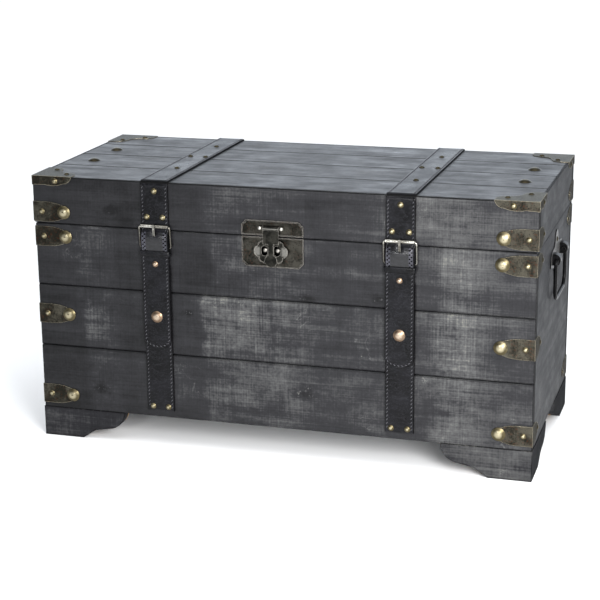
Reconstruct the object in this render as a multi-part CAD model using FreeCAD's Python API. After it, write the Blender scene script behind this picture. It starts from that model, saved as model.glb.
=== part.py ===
import FreeCAD, Part
import math
import os

from FreeCAD import Vector

# Steamer trunk: a planked wooden case on four bracket feet, with a hinged lid, leather strap
# fittings, pressed corner plates, a hasp latch and a bail handle on each end.
# Millimetres. X runs along the length, +Y to the back, +Z up. The origin is the centre of the
# whole object's box in plan, on the floor.

# ---- driving dimensions ----------------------------------------------------------------------
LENGTH = 800.0              # lid and feet, along X
DEPTH = 372.0               # lid and feet, along Y
HEIGHT = 432.0              # floor to the top of the lid planks
PROUD = 1.0                 # how far the lid and the feet stand out past the case walls
CENTRE_Y = 1.65             # the wooden box sits this far back, to centre the whole object

FOOT_TOP = 49.0             # underside of the case walls
BOARD_JOINTS = (154.5, 256.0)
SEAM = 357.0                # lid rim
SEAM_GAP = 0.4
WALL = 16.0                 # front and back boards
END_WALL = 14.0             # end panels
PLANK = 8.0                 # lid planks
LIP = 3.0                   # thin edge of the lid frame that hides the planks' ends
PLANK_JOINTS = (-88.0, 8.0, 98.0)
GROOVE = 2.0                # depth and half width of the V between two boards
RIM_CHAMFER = 1.5           # taken off the outer arris above and below the lid joint

PLATE = 1.0                 # pressed corner plates
STRAP_X = 195.0             # centre of each strap
STRAP_W = 45.0
STRAP_T = 3.0
LATCH_X = -5.0
HANDLE_Y = 8.0              # centre of each bail handle, towards the back
HANDLE_Z = 309.0
RUN_FIT = 0.05              # radial clearance of a pin in its knuckle

# ---- derived places --------------------------------------------------------------------------
LID_X = LENGTH / 2
LID_Y = DEPTH / 2
CASE_X = LID_X - PROUD
CASE_Y = LID_Y - PROUD
CASE_RIM = SEAM - SEAM_GAP
LID_TOP_FRAME = HEIGHT - PLANK
FRONT = -1
BACK = 1
LEFT = -1
RIGHT = 1

nodes = {}


# ---- small shape helpers ---------------------------------------------------------------------
def block(x0, x1, y0, y1, z0, z1):
    """Box between two opposite corners, given in any order."""
    low = Vector(min(x0, x1), min(y0, y1), min(z0, z1))
    return Part.makeBox(abs(x1 - x0), abs(y1 - y0), abs(z1 - z0), low)


def outline(start, steps, place):
    """Closed face. A step is a point (line) or a pair (through, end) for an arc."""
    edges = []
    here = place(*start)
    for step in steps:
        if isinstance(step[0], tuple):
            through = place(*step[0])
            end = place(*step[1])
            edges.append(Part.Arc(here, through, end).toShape())
        else:
            end = place(*step)
            edges.append(Part.LineSegment(here, end).toShape())
        here = end
    first = place(*start)
    if here.distanceToPoint(first) > 1e-6:
        edges.append(Part.LineSegment(here, first).toShape())
    return Part.Face(Part.Wire(edges))


def prism(start, steps, axis, low, high):
    """Outline extruded along one axis, its two coordinates being the other two in X, Y, Z order."""
    places = {
        "x": lambda a, b: Vector(low, a, b),
        "y": lambda a, b: Vector(a, low, b),
        "z": lambda a, b: Vector(a, b, low),
    }
    ways = {"x": Vector(1, 0, 0), "y": Vector(0, 1, 0), "z": Vector(0, 0, 1)}
    return outline(start, steps, places[axis]).extrude(ways[axis] * (high - low))


def rod(start, direction, radius, length):
    return Part.makeCylinder(radius, length, Vector(*start), Vector(*direction))


def fuse(shapes):
    whole = shapes[0].multiFuse(shapes[1:]) if len(shapes) > 1 else shapes[0]
    return whole.removeSplitter()


def mirror_x(shape):
    return shape.mirror(Vector(0, 0, 0), Vector(1, 0, 0))


def mirror_y(shape):
    return shape.mirror(Vector(0, 0, 0), Vector(0, 1, 0))


ALL_CORNERS = ((LEFT, FRONT), (RIGHT, FRONT), (LEFT, BACK), (RIGHT, BACK))


def corners(shape, sides=ALL_CORNERS):
    """Copies of a right back shape at the named corners of the box."""
    copies = []
    for side, end in sides:
        copy = shape.copy()
        if side == LEFT:
            copy = mirror_x(copy)
        if end == FRONT:
            copy = mirror_y(copy)
        copies.append(copy)
    return copies


def nail(at, direction, radius, height, shank_radius, shank_length):
    """Domed head standing on the surface at `at`, with its shank driven the other way."""
    ball = (radius ** 2 + height ** 2) / (2 * height)
    lean = math.asin(radius / ball) / 2
    shoulder = (ball * math.sin(lean), height - ball * (1 - math.cos(lean)))
    profile = outline(
        (0, -shank_length),
        [(shank_radius, -shank_length), (shank_radius, 0), (radius, 0), (shoulder, (0, height))],
        lambda r, z: Vector(r, 0, z),
    )
    head = profile.revolve(Vector(0, 0, 0), Vector(0, 0, 1), 360)
    turn = FreeCAD.Rotation(Vector(0, 0, 1), Vector(*direction))
    head.Placement = FreeCAD.Placement(Vector(*at), turn)
    return head


def group(shapes):
    return Part.makeCompound(shapes)


def add(name, shape):
    """Keeps one named piece, moved back so that the whole object is centred on the origin."""
    moved = shape.copy()
    moved.translate(Vector(0, CENTRE_Y, 0))
    nodes[name] = moved


# ---- fastener sizes --------------------------------------------------------------------------
DOME_R = 10.8               # large upholstery-type dome nails
DOME_H = 4.0
DOME_SHANK = (1.5, 9.0)
RIVET_R = 4.8               # small domed rivets of plates and straps
RIVET_H = 2.2
RIVET_SHANK = (1.3, 8.0)
SNAP_R = 9.3
SNAP_H = 3.4
SNAP_POST_R = 5.0
SNAP_REST = 0.3             # how far a snap socket stands out of its strap
RIVET_OFF = 13.0            # a pair of rivets, each this far from a strap's middle
HOLE_CLEAR = 0.2            # a plate's hole round a shank


def dome_nail(at, direction):
    return nail(at, direction, DOME_R, DOME_H, *DOME_SHANK)


def rivet(at, direction):
    return nail(at, direction, RIVET_R, RIVET_H, *RIVET_SHANK)


def shank_hole(at, direction, shank):
    """Cutter for a shank's hole in a plate or strap, through a few millimetres both ways."""
    reach = 6.0
    start = Vector(*at) - Vector(*direction) * reach
    return Part.makeCylinder(shank[0] + HOLE_CLEAR, 2 * reach, start, Vector(*direction))


# ---- boards ----------------------------------------------------------------------------------
def chamfer_rim(shape, half_x, half_y, rim, way):
    """Takes the outer arris off at a rim: `way` is +1 for the lid's and -1 for the case's."""
    def level(inset, z):
        x = half_x - inset
        y = half_y - inset
        corner_points = [Vector(-x, -y, z), Vector(x, -y, z), Vector(x, y, z), Vector(-x, y, z)]
        return Part.makePolygon(corner_points + corner_points[:1])

    end = rim + way * RIM_CHAMFER
    core = Part.makeLoft([level(RIM_CHAMFER, rim), level(0, end)], True)
    slab = block(-half_x - 1, half_x + 1, -half_y - 1, half_y + 1, rim, end)
    return shape.cut(slab.cut(core))


def case_rim(shape):
    return chamfer_rim(shape, CASE_X, CASE_Y, CASE_RIM, -1)


def lid_rim(shape):
    return chamfer_rim(shape, LID_X, LID_Y, SEAM, 1)


def wall_board(face, low, high, groove_low, groove_high):
    """Front or back board of the case, with a chamfer where it meets another board."""
    out = face * CASE_Y
    inner = face * (CASE_Y - WALL)
    shy = face * (CASE_Y - GROOVE)
    down = GROOVE if groove_low else 0
    up = GROOVE if groove_high else 0
    steps = [(inner, high)]
    if up:
        steps += [(shy, high), (out, high - up)]
    else:
        steps += [(out, high)]
    if down:
        steps += [(out, low + down), (shy, low)]
    else:
        steps += [(out, low)]
    return prism((inner, low), steps, "x", -CASE_X, CASE_X)


def case_boards():
    levels = (FOOT_TOP,) + BOARD_JOINTS + (CASE_RIM,)
    for word, face in (("front", FRONT), ("back", BACK)):
        for row, part in enumerate(("bottom", "middle", "top")):
            board = wall_board(face, levels[row], levels[row + 1], row > 0, row < 2)
            add(word + "_board_" + part, case_rim(board) if part == "top" else board)
    inner_y = CASE_Y - WALL
    for word, side in (("left", LEFT), ("right", RIGHT)):
        inside = side * (CASE_X - END_WALL)
        panel = block(inside, side * CASE_X, -inner_y, inner_y, FOOT_TOP, CASE_RIM)
        add("side_panel_" + word, case_rim(panel))


BOTTOM_LOW = 60.0           # underside of the bottom panel
BOTTOM_T = 10.0
POST = 20.0                 # square glue posts in the inside corners
BATTEN_W = 45.0
BATTEN_XS = (-240.0, 0.0, 240.0)    # battens under the bottom, and cleats under the lid planks
CLEAT_W = 40.0
CLEAT_T = 10.0


def case_inside():
    inner_x = CASE_X - END_WALL
    inner_y = CASE_Y - WALL
    floor = BOTTOM_LOW + BOTTOM_T
    add("bottom_panel", block(-inner_x, inner_x, -inner_y, inner_y, BOTTOM_LOW, floor))
    post_top = CASE_RIM - 6
    post = block(inner_x - POST, inner_x, inner_y - POST, inner_y, floor, post_top)
    add("corner_posts", group(corners(post)))
    battens = []
    half = BATTEN_W / 2
    for x in BATTEN_XS:
        battens.append(block(x - half, x + half, -inner_y, inner_y, FOOT_TOP, BOTTOM_LOW))
    add("bottom_battens", group(battens))


FOOT_T = 20.0
FOOT_RUN = 141.0            # length of the scroll along a wall
FOOT_PAD = 67.0             # flat that stands on the floor
GLUE_BLOCK = 26.0


def foot_scroll(corner):
    """Bracket foot outline from the corner inwards, measured along the wall and up."""
    def at(distance):
        return corner - distance
    start = (at(0), 0)
    steps = [
        (at(FOOT_PAD), 0),
        (at(FOOT_PAD + 22), 15),
        ((at(FOOT_PAD + 38), 18), (at(FOOT_PAD + 50), 20)),
        ((at(FOOT_PAD + 66), 29), (at(FOOT_RUN), FOOT_TOP)),
        (at(0), FOOT_TOP),
    ]
    return start, steps


def feet():
    inner_x = LID_X - FOOT_T
    inner_y = LID_Y - FOOT_T
    start, steps = foot_scroll(LID_X)
    long_bracket = prism(start, steps, "y", inner_y, LID_Y)
    start, steps = foot_scroll(LID_Y)
    short_bracket = prism(start, steps, "x", inner_x, LID_X)
    short_bracket = short_bracket.cut(block(inner_x, LID_X, inner_y, LID_Y, 0, FOOT_TOP))
    low_x = inner_x - GLUE_BLOCK
    low_y = inner_y - GLUE_BLOCK
    glue_block = block(low_x, inner_x, low_y, inner_y, 4, FOOT_TOP)
    foot = group([long_bracket, short_bracket, glue_block])
    words = {(LEFT, FRONT): "front_left", (RIGHT, FRONT): "front_right",
             (LEFT, BACK): "back_left", (RIGHT, BACK): "back_right"}
    for place, word in words.items():
        add("foot_" + word, corners(foot, (place,))[0])


def lid_boards():
    """Frame with a thin lip round its top, and four planks laid inside the lip."""
    inner_y = LID_Y - WALL
    lip_x = LID_X - LIP
    lip_y = LID_Y - LIP
    board = block(-LID_X, LID_X, inner_y, LID_Y, SEAM, LID_TOP_FRAME)
    lip = block(-LID_X, LID_X, lip_y, LID_Y, LID_TOP_FRAME, HEIGHT)
    rail = lid_rim(fuse([board, lip]))
    add("lid_back_rail", rail)
    add("lid_front_rail", mirror_y(rail))
    for word, side in (("left", LEFT), ("right", RIGHT)):
        inside = side * (LID_X - END_WALL)
        board = block(inside, side * LID_X, -inner_y, inner_y, SEAM, LID_TOP_FRAME)
        lip = block(side * lip_x, side * LID_X, -lip_y, lip_y, LID_TOP_FRAME, HEIGHT)
        add("lid_end_" + word, lid_rim(fuse([board, lip])))
    edges = (-lip_y,) + PLANK_JOINTS + (lip_y,)
    chamfer = 1.5
    for row in range(4):
        y0 = edges[row]
        y1 = edges[row + 1]
        steps = [(y1, LID_TOP_FRAME), (y1, HEIGHT - chamfer), (y1 - chamfer, HEIGHT),
                 (y0 + chamfer, HEIGHT), (y0, HEIGHT - chamfer)]
        add("lid_plank_%d" % (row + 1), prism((y0, LID_TOP_FRAME), steps, "x", -lip_x, lip_x))
    cleats = []
    half = CLEAT_W / 2
    low = LID_TOP_FRAME - CLEAT_T
    for x in BATTEN_XS:
        cleats.append(block(x - half, x + half, -inner_y, inner_y, low, LID_TOP_FRAME))
    add("lid_cleats", group(cleats))


# ---- corner plates ---------------------------------------------------------------------------
DOME_FROM_END = 51.0        # large nail at the tip of a bracket's long wing
RIVET_FROM_END = 13.6
SIDE_RIVET_FROM_END = 46.0
WING_HALF = 16.0            # half height of a bracket at its corner
WING_BULGE = 1.3            # how far its curved edges stand out from a straight taper
LONG_TIP_R = 10.0           # just inside the dome nail's head
SHORT_TIP_R = 7.5
LID_PLATE_Z = 375.5
CASE_PLATE_ZS = (335.5, 208.0, 72.0)


def wing(corner, shoulder, tip_from_end, tip_radius, z):
    """Plate outline: full height to the shoulder, then curving in to a round tip."""
    at_shoulder = corner - shoulder
    at_tip = corner - tip_from_end
    waist = (at_shoulder + at_tip) / 2
    waist_half = (WING_HALF + tip_radius) / 2 + WING_BULGE
    steps = [
        (at_shoulder, z - WING_HALF),
        ((waist, z - waist_half), (at_tip, z - tip_radius)),
        ((at_tip - tip_radius, z), (at_tip, z + tip_radius)),
        ((waist, z + waist_half), (at_shoulder, z + WING_HALF)),
        (corner, z + WING_HALF),
    ]
    return (corner, z - WING_HALF), steps


def bracket(half_x, half_y, z):
    """Plate folded round the right back corner: a long wing on the wall, a short one on the end."""
    start, steps = wing(half_x + PLATE, 26, DOME_FROM_END + PLATE, LONG_TIP_R, z)
    long_wing = prism(start, steps, "y", half_y, half_y + PLATE)
    start, steps = wing(half_y, 22, SIDE_RIVET_FROM_END, SHORT_TIP_R, z)
    short_wing = prism(start, steps, "x", half_x, half_x + PLATE)
    plate = fuse([long_wing, short_wing])
    holes = [
        shank_hole((half_x - RIVET_FROM_END, half_y, z), (0, 1, 0), RIVET_SHANK),
        shank_hole((half_x, half_y - SIDE_RIVET_FROM_END, z), (1, 0, 0), RIVET_SHANK),
        shank_hole((half_x - DOME_FROM_END, half_y, z), (0, 1, 0), DOME_SHANK),
    ]
    return plate.cut(Part.makeCompound(holes))


def bracket_nails(half_x, half_y, z):
    """The dome nail, then the two rivets, of a right back bracket."""
    dome = dome_nail((half_x - DOME_FROM_END, half_y + PLATE, z), (0, 1, 0))
    rivets = [
        rivet((half_x - RIVET_FROM_END, half_y + PLATE, z), (0, 1, 0)),
        rivet((half_x + PLATE, half_y - SIDE_RIVET_FROM_END, z), (1, 0, 0)),
    ]
    return dome, rivets


CAP_REACH = 66.0            # how far a corner cap runs along each edge
CAP_DROP = 14.0
CAP_RIVETS = ((50.0, 20.0), (20.0, 50.0))
CAP_SIDE_RIVET = (38.0, 7.0)


def cap_top_outline():
    """Top flap measured from the corner: two lobes round the rivets and a waist between them."""
    reach = CAP_REACH
    start = (-PLATE, -PLATE)
    steps = [
        (reach, -PLATE),
        (reach, 6),
        ((60, 25), (48, 30)),
        ((36, 36), (30, 48)),
        ((25, 60), (6, reach)),
        (-PLATE, reach),
    ]
    return start, steps


def cap_flap_outline():
    """Side flap measured along and down: full length at the top edge, rounded back under the rivet."""
    reach = CAP_REACH
    start = (-PLATE, 0)
    steps = [
        (reach, 0),
        ((reach - 5, 8), (reach - 14, 11)),
        ((reach - 26, CAP_DROP), (20, CAP_DROP - 1)),
        (-PLATE, CAP_DROP),
    ]
    return start, steps


def corner_cap():
    """Three flaps meeting at the lid's right back top corner."""
    def turn(outline_points, place):
        start, steps = outline_points
        moved = []
        for step in steps:
            if isinstance(step[0], tuple):
                moved.append((place(step[0]), place(step[1])))
            else:
                moved.append(place(step))
        return place(start), moved

    start, steps = turn(cap_top_outline(), lambda p: (LID_X - p[0], LID_Y - p[1]))
    top = prism(start, steps, "z", HEIGHT, HEIGHT + PLATE)
    start, steps = turn(cap_flap_outline(), lambda p: (LID_X - p[0], HEIGHT - p[1]))
    back = prism(start, steps, "y", LID_Y, LID_Y + PLATE)
    start, steps = turn(cap_flap_outline(), lambda p: (LID_Y - p[0], HEIGHT - p[1]))
    end = prism(start, steps, "x", LID_X, LID_X + PLATE)
    shell = fuse([top, back, end])
    holes = [shank_hole(at, way, RIVET_SHANK) for at, way in cap_rivet_places()]
    return shell.cut(Part.makeCompound(holes))


def cap_rivet_places():
    places = []
    for dx, dy in CAP_RIVETS:
        places.append(((LID_X - dx, LID_Y - dy, HEIGHT + PLATE), (0, 0, 1)))
    along, down = CAP_SIDE_RIVET
    places.append(((LID_X - along, LID_Y + PLATE, HEIGHT - down), (0, 1, 0)))
    places.append(((LID_X + PLATE, LID_Y - along, HEIGHT - down), (1, 0, 0)))
    return places


def corner_plates():
    """Brackets and caps. Each list of nails is kept for the fastener nodes."""
    front_only = ((LEFT, FRONT), (RIGHT, FRONT))
    case_plates = []
    case_domes = []
    case_rivets = []
    for row, z in enumerate(CASE_PLATE_ZS):
        sides = front_only if row == 1 else ALL_CORNERS
        case_plates += corners(bracket(CASE_X, CASE_Y, z), sides)
        dome, rivets = bracket_nails(CASE_X, CASE_Y, z)
        case_domes += corners(dome, sides)
        for one in rivets:
            case_rivets += corners(one, sides)
    add("case_corner_plates", group(case_plates))

    dome, rivets = bracket_nails(LID_X, LID_Y, LID_PLATE_Z)
    add("lid_corner_plates", group(corners(bracket(LID_X, LID_Y, LID_PLATE_Z))))
    lid_domes = corners(dome)
    lid_rivets = []
    for one in rivets:
        lid_rivets += corners(one)
    add("corner_caps", group(corners(corner_cap())))
    for at, way in cap_rivet_places():
        lid_rivets += corners(rivet(at, way))
    return case_domes, case_rivets, lid_domes, lid_rivets


# ---- straps and buckles ----------------------------------------------------------------------
# A strap's profile is drawn in Y and Z and extruded across its width.
CASE_FRONT = -CASE_Y
LID_FRONT = -LID_Y
UNDER_LOW = 60.0            # lower end of the strap nailed to the case
UNDER_TOP = 297.0
TAIL_LOW = 166.0
TAIL_TOP = 312.0
TAIL_BACK = -189.4          # Y of the tail's inner face, just clear of the strap beneath
TAIL_GAP = 0.4
SNAP_Z = 217.5
TAIL_RIVET_Z = 303.0
KEEPER_Z = 319.5
KEEPER_H = 8.4
KEEPER_T = 1.9
KEEPER_YS = (-193.3, -188.9)    # the loop's inside, front and back
ROLLER_Z = 363.0
ROLLER_R = 2.5
ROLLER_HALF = 22.0
ROLLER_Y = -191.8
BAR_R = 1.4
BAR_Y = -188.1
BAR_Z = 328.5
FRAME_HALF = 25.2           # centre of a buckle's side bar from the strap's middle
FRAME_BEND = 3.2
PRONG_W = 3.2
PRONG_T = 1.8
SLOT_W = 6.0
SLOT_ZS = (331.0, 353.0)    # the prong's slot in the strap


def strap_slice(inner, x):
    """Leather of one strap from its inner face's points, listed from the top down."""
    outer = [(y - STRAP_T, z) for y, z in reversed(inner)]
    half = STRAP_W / 2
    return prism(inner[0], inner[1:] + outer, "x", x - half, x + half)


def strap_nails(x, face_y, singles, pairs):
    """Rivet places on a front strap: one in the middle, or two side by side."""
    places = [((x, face_y, z), (0, -1, 0)) for z in singles]
    for z in pairs:
        places += [((x + dx, face_y, z), (0, -1, 0)) for dx in (-RIVET_OFF, RIVET_OFF)]
    return places


def lid_strap(x):
    """Strap on the lid front, from just under the top edge down to the rim."""
    top = 430.0
    low = SEAM + 0.3
    half = STRAP_W / 2
    face = LID_FRONT - STRAP_T
    shape = block(x - half, x + half, face, LID_FRONT, low, top)
    places = strap_nails(x, face, (418,), (377,))
    return shape, places


def top_strap(x):
    """Band across the lid planks from the front edge to the back edge."""
    half = STRAP_W / 2
    shape = block(x - half, x + half, -LID_Y, LID_Y, HEIGHT, HEIGHT + STRAP_T)
    spots = ((0, -86), (-RIVET_OFF, 13), (RIVET_OFF, 13), (0, 105))
    places = [((x + dx, y, HEIGHT + STRAP_T), (0, 0, 1)) for dx, y in spots]
    return shape, places


def under_strap(x):
    """Strap nailed down the case front, behind the buckled tail."""
    half = STRAP_W / 2
    face = CASE_FRONT - STRAP_T
    shape = block(x - half, x + half, face, CASE_FRONT, UNDER_LOW, UNDER_TOP)
    places = strap_nails(x, face, (), (67,))
    return shape, places


def buckle_leather(x):
    """Strap from the seam through the buckle, and its keeper loop."""
    inner = [(-186.0, 356.4), (-187.4, 354.5), (-190.3, 350.5), (-191.4, 346), (-191.6, 338),
             (-190.9, 329), (-189.6, 321), (TAIL_BACK, 316), (TAIL_BACK, TAIL_TOP + TAIL_GAP)]
    leather = strap_slice(inner, x)
    low, high = SLOT_ZS
    slot = block(x - SLOT_W / 2, x + SLOT_W / 2, CASE_FRONT - 20, CASE_FRONT, low, high)
    leather = leather.cut(slot)
    half = STRAP_W / 2 + 0.3
    rim = half + KEEPER_T
    low = KEEPER_Z - KEEPER_H / 2
    high = KEEPER_Z + KEEPER_H / 2
    front, back = KEEPER_YS
    loop = block(x - rim, x + rim, front - KEEPER_T, back + KEEPER_T, low, high)
    loop = loop.cut(block(x - half, x + half, front, back, low, high))
    return group([leather, loop])


def tail_leather(x):
    """Free end of the strap, rounded at its tip, snapped to the case."""
    half = STRAP_W / 2
    shoulder = TAIL_LOW + 14
    steps = [(x + half, TAIL_TOP), (x + half, shoulder),
             ((x + half - 9, TAIL_LOW + 4), (x, TAIL_LOW)),
             ((x - half + 9, TAIL_LOW + 4), (x - half, shoulder))]
    return prism((x - half, TAIL_TOP), steps, "y", TAIL_BACK - STRAP_T, TAIL_BACK)


def buckle_frame(x):
    """Round wire bent into a rounded rectangle, with a thicker roller on its top bar."""
    lean = math.atan2(BAR_Y - ROLLER_Y, ROLLER_Z - BAR_Z)
    tall = math.hypot(BAR_Y - ROLLER_Y, ROLLER_Z - BAR_Z)
    half = FRAME_HALF
    bend = FRAME_BEND
    nick = bend * (1 - math.sqrt(0.5))

    def place(beside, down):
        return Vector(x + beside, ROLLER_Y + down * math.sin(lean), ROLLER_Z - down * math.cos(lean))

    start = (bend - half, 0)
    steps = [
        (half - bend, 0),
        ((half - nick, nick), (half, bend)),
        (half, tall - bend),
        ((half - nick, tall - nick), (half - bend, tall)),
        (bend - half, tall),
        ((nick - half, tall - nick), (-half, tall - bend)),
        (-half, bend),
        ((nick - half, nick), start),
    ]
    path = outline(start, steps, place).OuterWire
    section = Part.Wire(Part.makeCircle(BAR_R, Vector(x, ROLLER_Y, ROLLER_Z), Vector(1, 0, 0)))
    section.translate(Vector(bend - half, 0, 0))
    wire = path.makePipeShell([section], True, True)
    roller = rod((x - ROLLER_HALF, ROLLER_Y, ROLLER_Z), (1, 0, 0), ROLLER_R, 2 * ROLLER_HALF)
    return fuse([wire, roller])


def buckle_prong(x):
    """Tongue with an eye round the lower bar, up through the strap and over the roller."""
    low = x - PRONG_W / 2
    high = x + PRONG_W / 2
    foot_z = BAR_Z + 1.5
    tip_z = ROLLER_Z + 3.2
    foot_y = BAR_Y - 1.0
    tip_y = ROLLER_Y - ROLLER_R - 0.1
    steps = [(tip_y, ROLLER_Z - 3), (tip_y, tip_z), (tip_y - PRONG_T * 0.7, tip_z),
             (tip_y - PRONG_T, ROLLER_Z - 3), (foot_y - 1.3, foot_z)]
    blade = prism((foot_y + 0.9, foot_z), steps, "x", low, high)
    eye = rod((low, BAR_Y, BAR_Z), (1, 0, 0), BAR_R + 0.9, PRONG_W)
    hole = rod((low - 1, BAR_Y, BAR_Z), (1, 0, 0), BAR_R + RUN_FIT, PRONG_W + 2)
    return fuse([blade, eye]).cut(hole)


def straps():
    """Both straps. Returns the rivets of the case and of the lid."""
    case_rivets = []
    lid_rivets = []
    sockets = []
    for word, side in (("left", LEFT), ("right", RIGHT)):
        x = side * STRAP_X
        shape, places = lid_strap(x)
        lid_rivets += places
        add("lid_strap_" + word, shape)
        shape, places = top_strap(x)
        lid_rivets += places
        add("top_strap_" + word, shape)
        shape, places = under_strap(x)
        case_rivets += places
        post_face = CASE_FRONT - STRAP_T - SNAP_REST
        snap_post = rod((x, post_face, SNAP_Z), (0, 1, 0), SNAP_POST_R, STRAP_T + SNAP_REST)
        add("under_strap_" + word, shape.cut(snap_post))
        sockets.append(snap_post)
        add("buckle_strap_" + word, buckle_leather(x))
        add("buckle_frame_" + word, buckle_frame(x))
        add("buckle_prong_" + word, buckle_prong(x))
        face = TAIL_BACK - STRAP_T
        cap = nail((x, face, SNAP_Z), (0, -1, 0), SNAP_R, SNAP_H, 2.0, STRAP_T)
        shank = RIVET_SHANK[0]
        small = nail((x, face, TAIL_RIVET_Z), (0, -1, 0), RIVET_R, RIVET_H, shank, STRAP_T)
        tail = tail_leather(x)
        for one in (cap, small):
            tail = tail.cut(one)
        add("strap_tail_" + word, tail)
        add("snap_cap_" + word, group([cap, small]))
    add("snap_sockets", group(sockets))
    return case_rivets, lid_rivets


# ---- latch -----------------------------------------------------------------------------------
LATCH_HALF = 49.2           # half width of both plates
LATCH_PLATE = 1.2
UPPER_PLATE_TOP = 382.0
LOWER_PLATE_LOW = 308.8
LATCH_RIM = 0.8             # height of the bead round each plate
LATCH_BEAD = (0.5, 1.8)     # the bead's outer and inner edge, from the plate's edge
ROD_Z = 370.6
ROD_Y = LID_FRONT - 4.6
ROD_R = 1.5
BARREL_R = 3.0
HASP_X = LATCH_X - 1.4      # the hasp sits a little left of the plates' middle
HASP_HALF = 12.5
HASP_BACK = -188.9
HASP_T = 1.8
HASP_BEAD = 1.2             # raised edge of the leaf
HASP_RISE = 0.6             # how far the bead and the spine stand up from the leaf
HASP_LOBES = ((17.0, 334.5, 10.0), (13.0, 343.0, 8.0), (11.5, 324.5, 8.0))  # beside, Z, radius
HASP_DISCS = ((334.0, 16.5), (319.8, 9.8))      # Z and radius of the middle and of the chin
HASP_NECK_LOW = 338.0
SPINE_HALF = 4.3
WINDOW_X = 10.0             # oval windows and, behind them, the lower plate's two rivets
WINDOW_Z = 335.5
WINDOW_R = 5.0
WINDOW_RISE = 3.0           # half the straight part of an oval
LUG_T = 1.4
BALL_R = 3.3
BALL_OUT = 3.0              # a ball's centre beyond its lug


def ogee_plate(half, low, high, clipped_high, inset, y_out, y_in):
    """Plate with ogee corners at one end, shrunk by `inset` on every side."""
    a = half - inset
    near = low + inset if clipped_high else high - inset
    far = high - inset if clipped_high else low + inset
    way = 1 if clipped_high else -1
    x = LATCH_X
    steps = [
        (x + a, near),
        (x + a, far - way * 9),
        ((x + a - 1, far - way * 6), (x + a - 4, far - way * 4.5)),
        ((x + a - 5.5, far - way * 1.5), (x + a - 9, far)),
        (x - a + 9, far),
        ((x - a + 5.5, far - way * 1.5), (x - a + 4, far - way * 4.5)),
        ((x - a + 1, far - way * 6), (x - a, far - way * 9)),
    ]
    return prism((x - a, near), steps, "y", y_out, y_in)


def rimmed_plate(low, high, clipped_high, face):
    """Pressed plate on the face at Y = `face`, with a raised bead just inside its edge."""
    sheet = ogee_plate(LATCH_HALF, low, high, clipped_high, 0, face - LATCH_PLATE, face)
    bead_face = face - LATCH_PLATE - LATCH_RIM
    bead, dish = [
        ogee_plate(LATCH_HALF, low, high, clipped_high, inset, bead_face, face - LATCH_PLATE)
        for inset in LATCH_BEAD
    ]
    return fuse([sheet, bead.cut(dish)])


def latch():
    """Upper plate with hinge lugs, rod, hasp and lower plate. Returns the plates' rivet places."""
    x = HASP_X
    upper = rimmed_plate(SEAM + 1.6, UPPER_PLATE_TOP, True, LID_FRONT)
    lugs = []
    for side in (LEFT, RIGHT):
        inside = x + side * (HASP_HALF + 0.3)
        outside = inside + side * LUG_T
        low = ROD_Z - BARREL_R
        high = ROD_Z + BARREL_R
        lug = block(inside, outside, ROD_Y, LID_FRONT - LATCH_PLATE, low, high)
        nose = rod((min(inside, outside), ROD_Y, ROD_Z), (1, 0, 0), BARREL_R, LUG_T)
        lugs += [lug, nose]
    upper = fuse([upper] + lugs)
    upper = upper.cut(rod((x - 25, ROD_Y, ROD_Z), (1, 0, 0), ROD_R + RUN_FIT, 50))
    add("latch_upper_plate", upper)

    reach = HASP_HALF + 0.3 + LUG_T
    pin = [rod((x - reach, ROD_Y, ROD_Z), (1, 0, 0), ROD_R, 2 * reach)]
    for side in (LEFT, RIGHT):
        pin.append(Part.makeSphere(BALL_R, Vector(x + side * (reach + BALL_OUT), ROD_Y, ROD_Z)))
    add("latch_rod", fuse(pin))

    add("hasp", hasp(x))

    lower = rimmed_plate(LOWER_PLATE_LOW, CASE_RIM - 0.8, False, CASE_FRONT)
    places = []
    for dx in (-WINDOW_X, WINDOW_X):
        places.append(((x + dx, CASE_FRONT - LATCH_PLATE, WINDOW_Z), (0, -1, 0)))
    holes = [shank_hole(at, way, RIVET_SHANK) for at, way in places]
    add("latch_lower_plate", lower.cut(Part.makeCompound(holes)))
    return places


def hasp_leaf(x, inset, front, back):
    """The leaf's outline, shrunk by `inset`: a neck, two round ears and a chin."""
    def disc(dx, z, radius):
        return rod((x + dx, front, z), (0, 1, 0), radius - inset, back - front)

    half = HASP_HALF - inset
    leaf = [block(x - half, x + half, front, back, HASP_NECK_LOW, ROD_Z)]
    for side in (LEFT, RIGHT):
        leaf += [disc(side * dx, z, radius) for dx, z, radius in HASP_LOBES]
    leaf += [disc(0, z, radius) for z, radius in HASP_DISCS]
    return fuse(leaf)


def window(x, front, back):
    """Cutter for an upright oval window."""
    low = WINDOW_Z - WINDOW_RISE
    high = WINDOW_Z + WINDOW_RISE
    ends = [rod((x, front, z), (0, 1, 0), WINDOW_R, back - front) for z in (low, high)]
    return fuse(ends + [block(x - WINDOW_R, x + WINDOW_R, front, back, low, high)])


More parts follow.
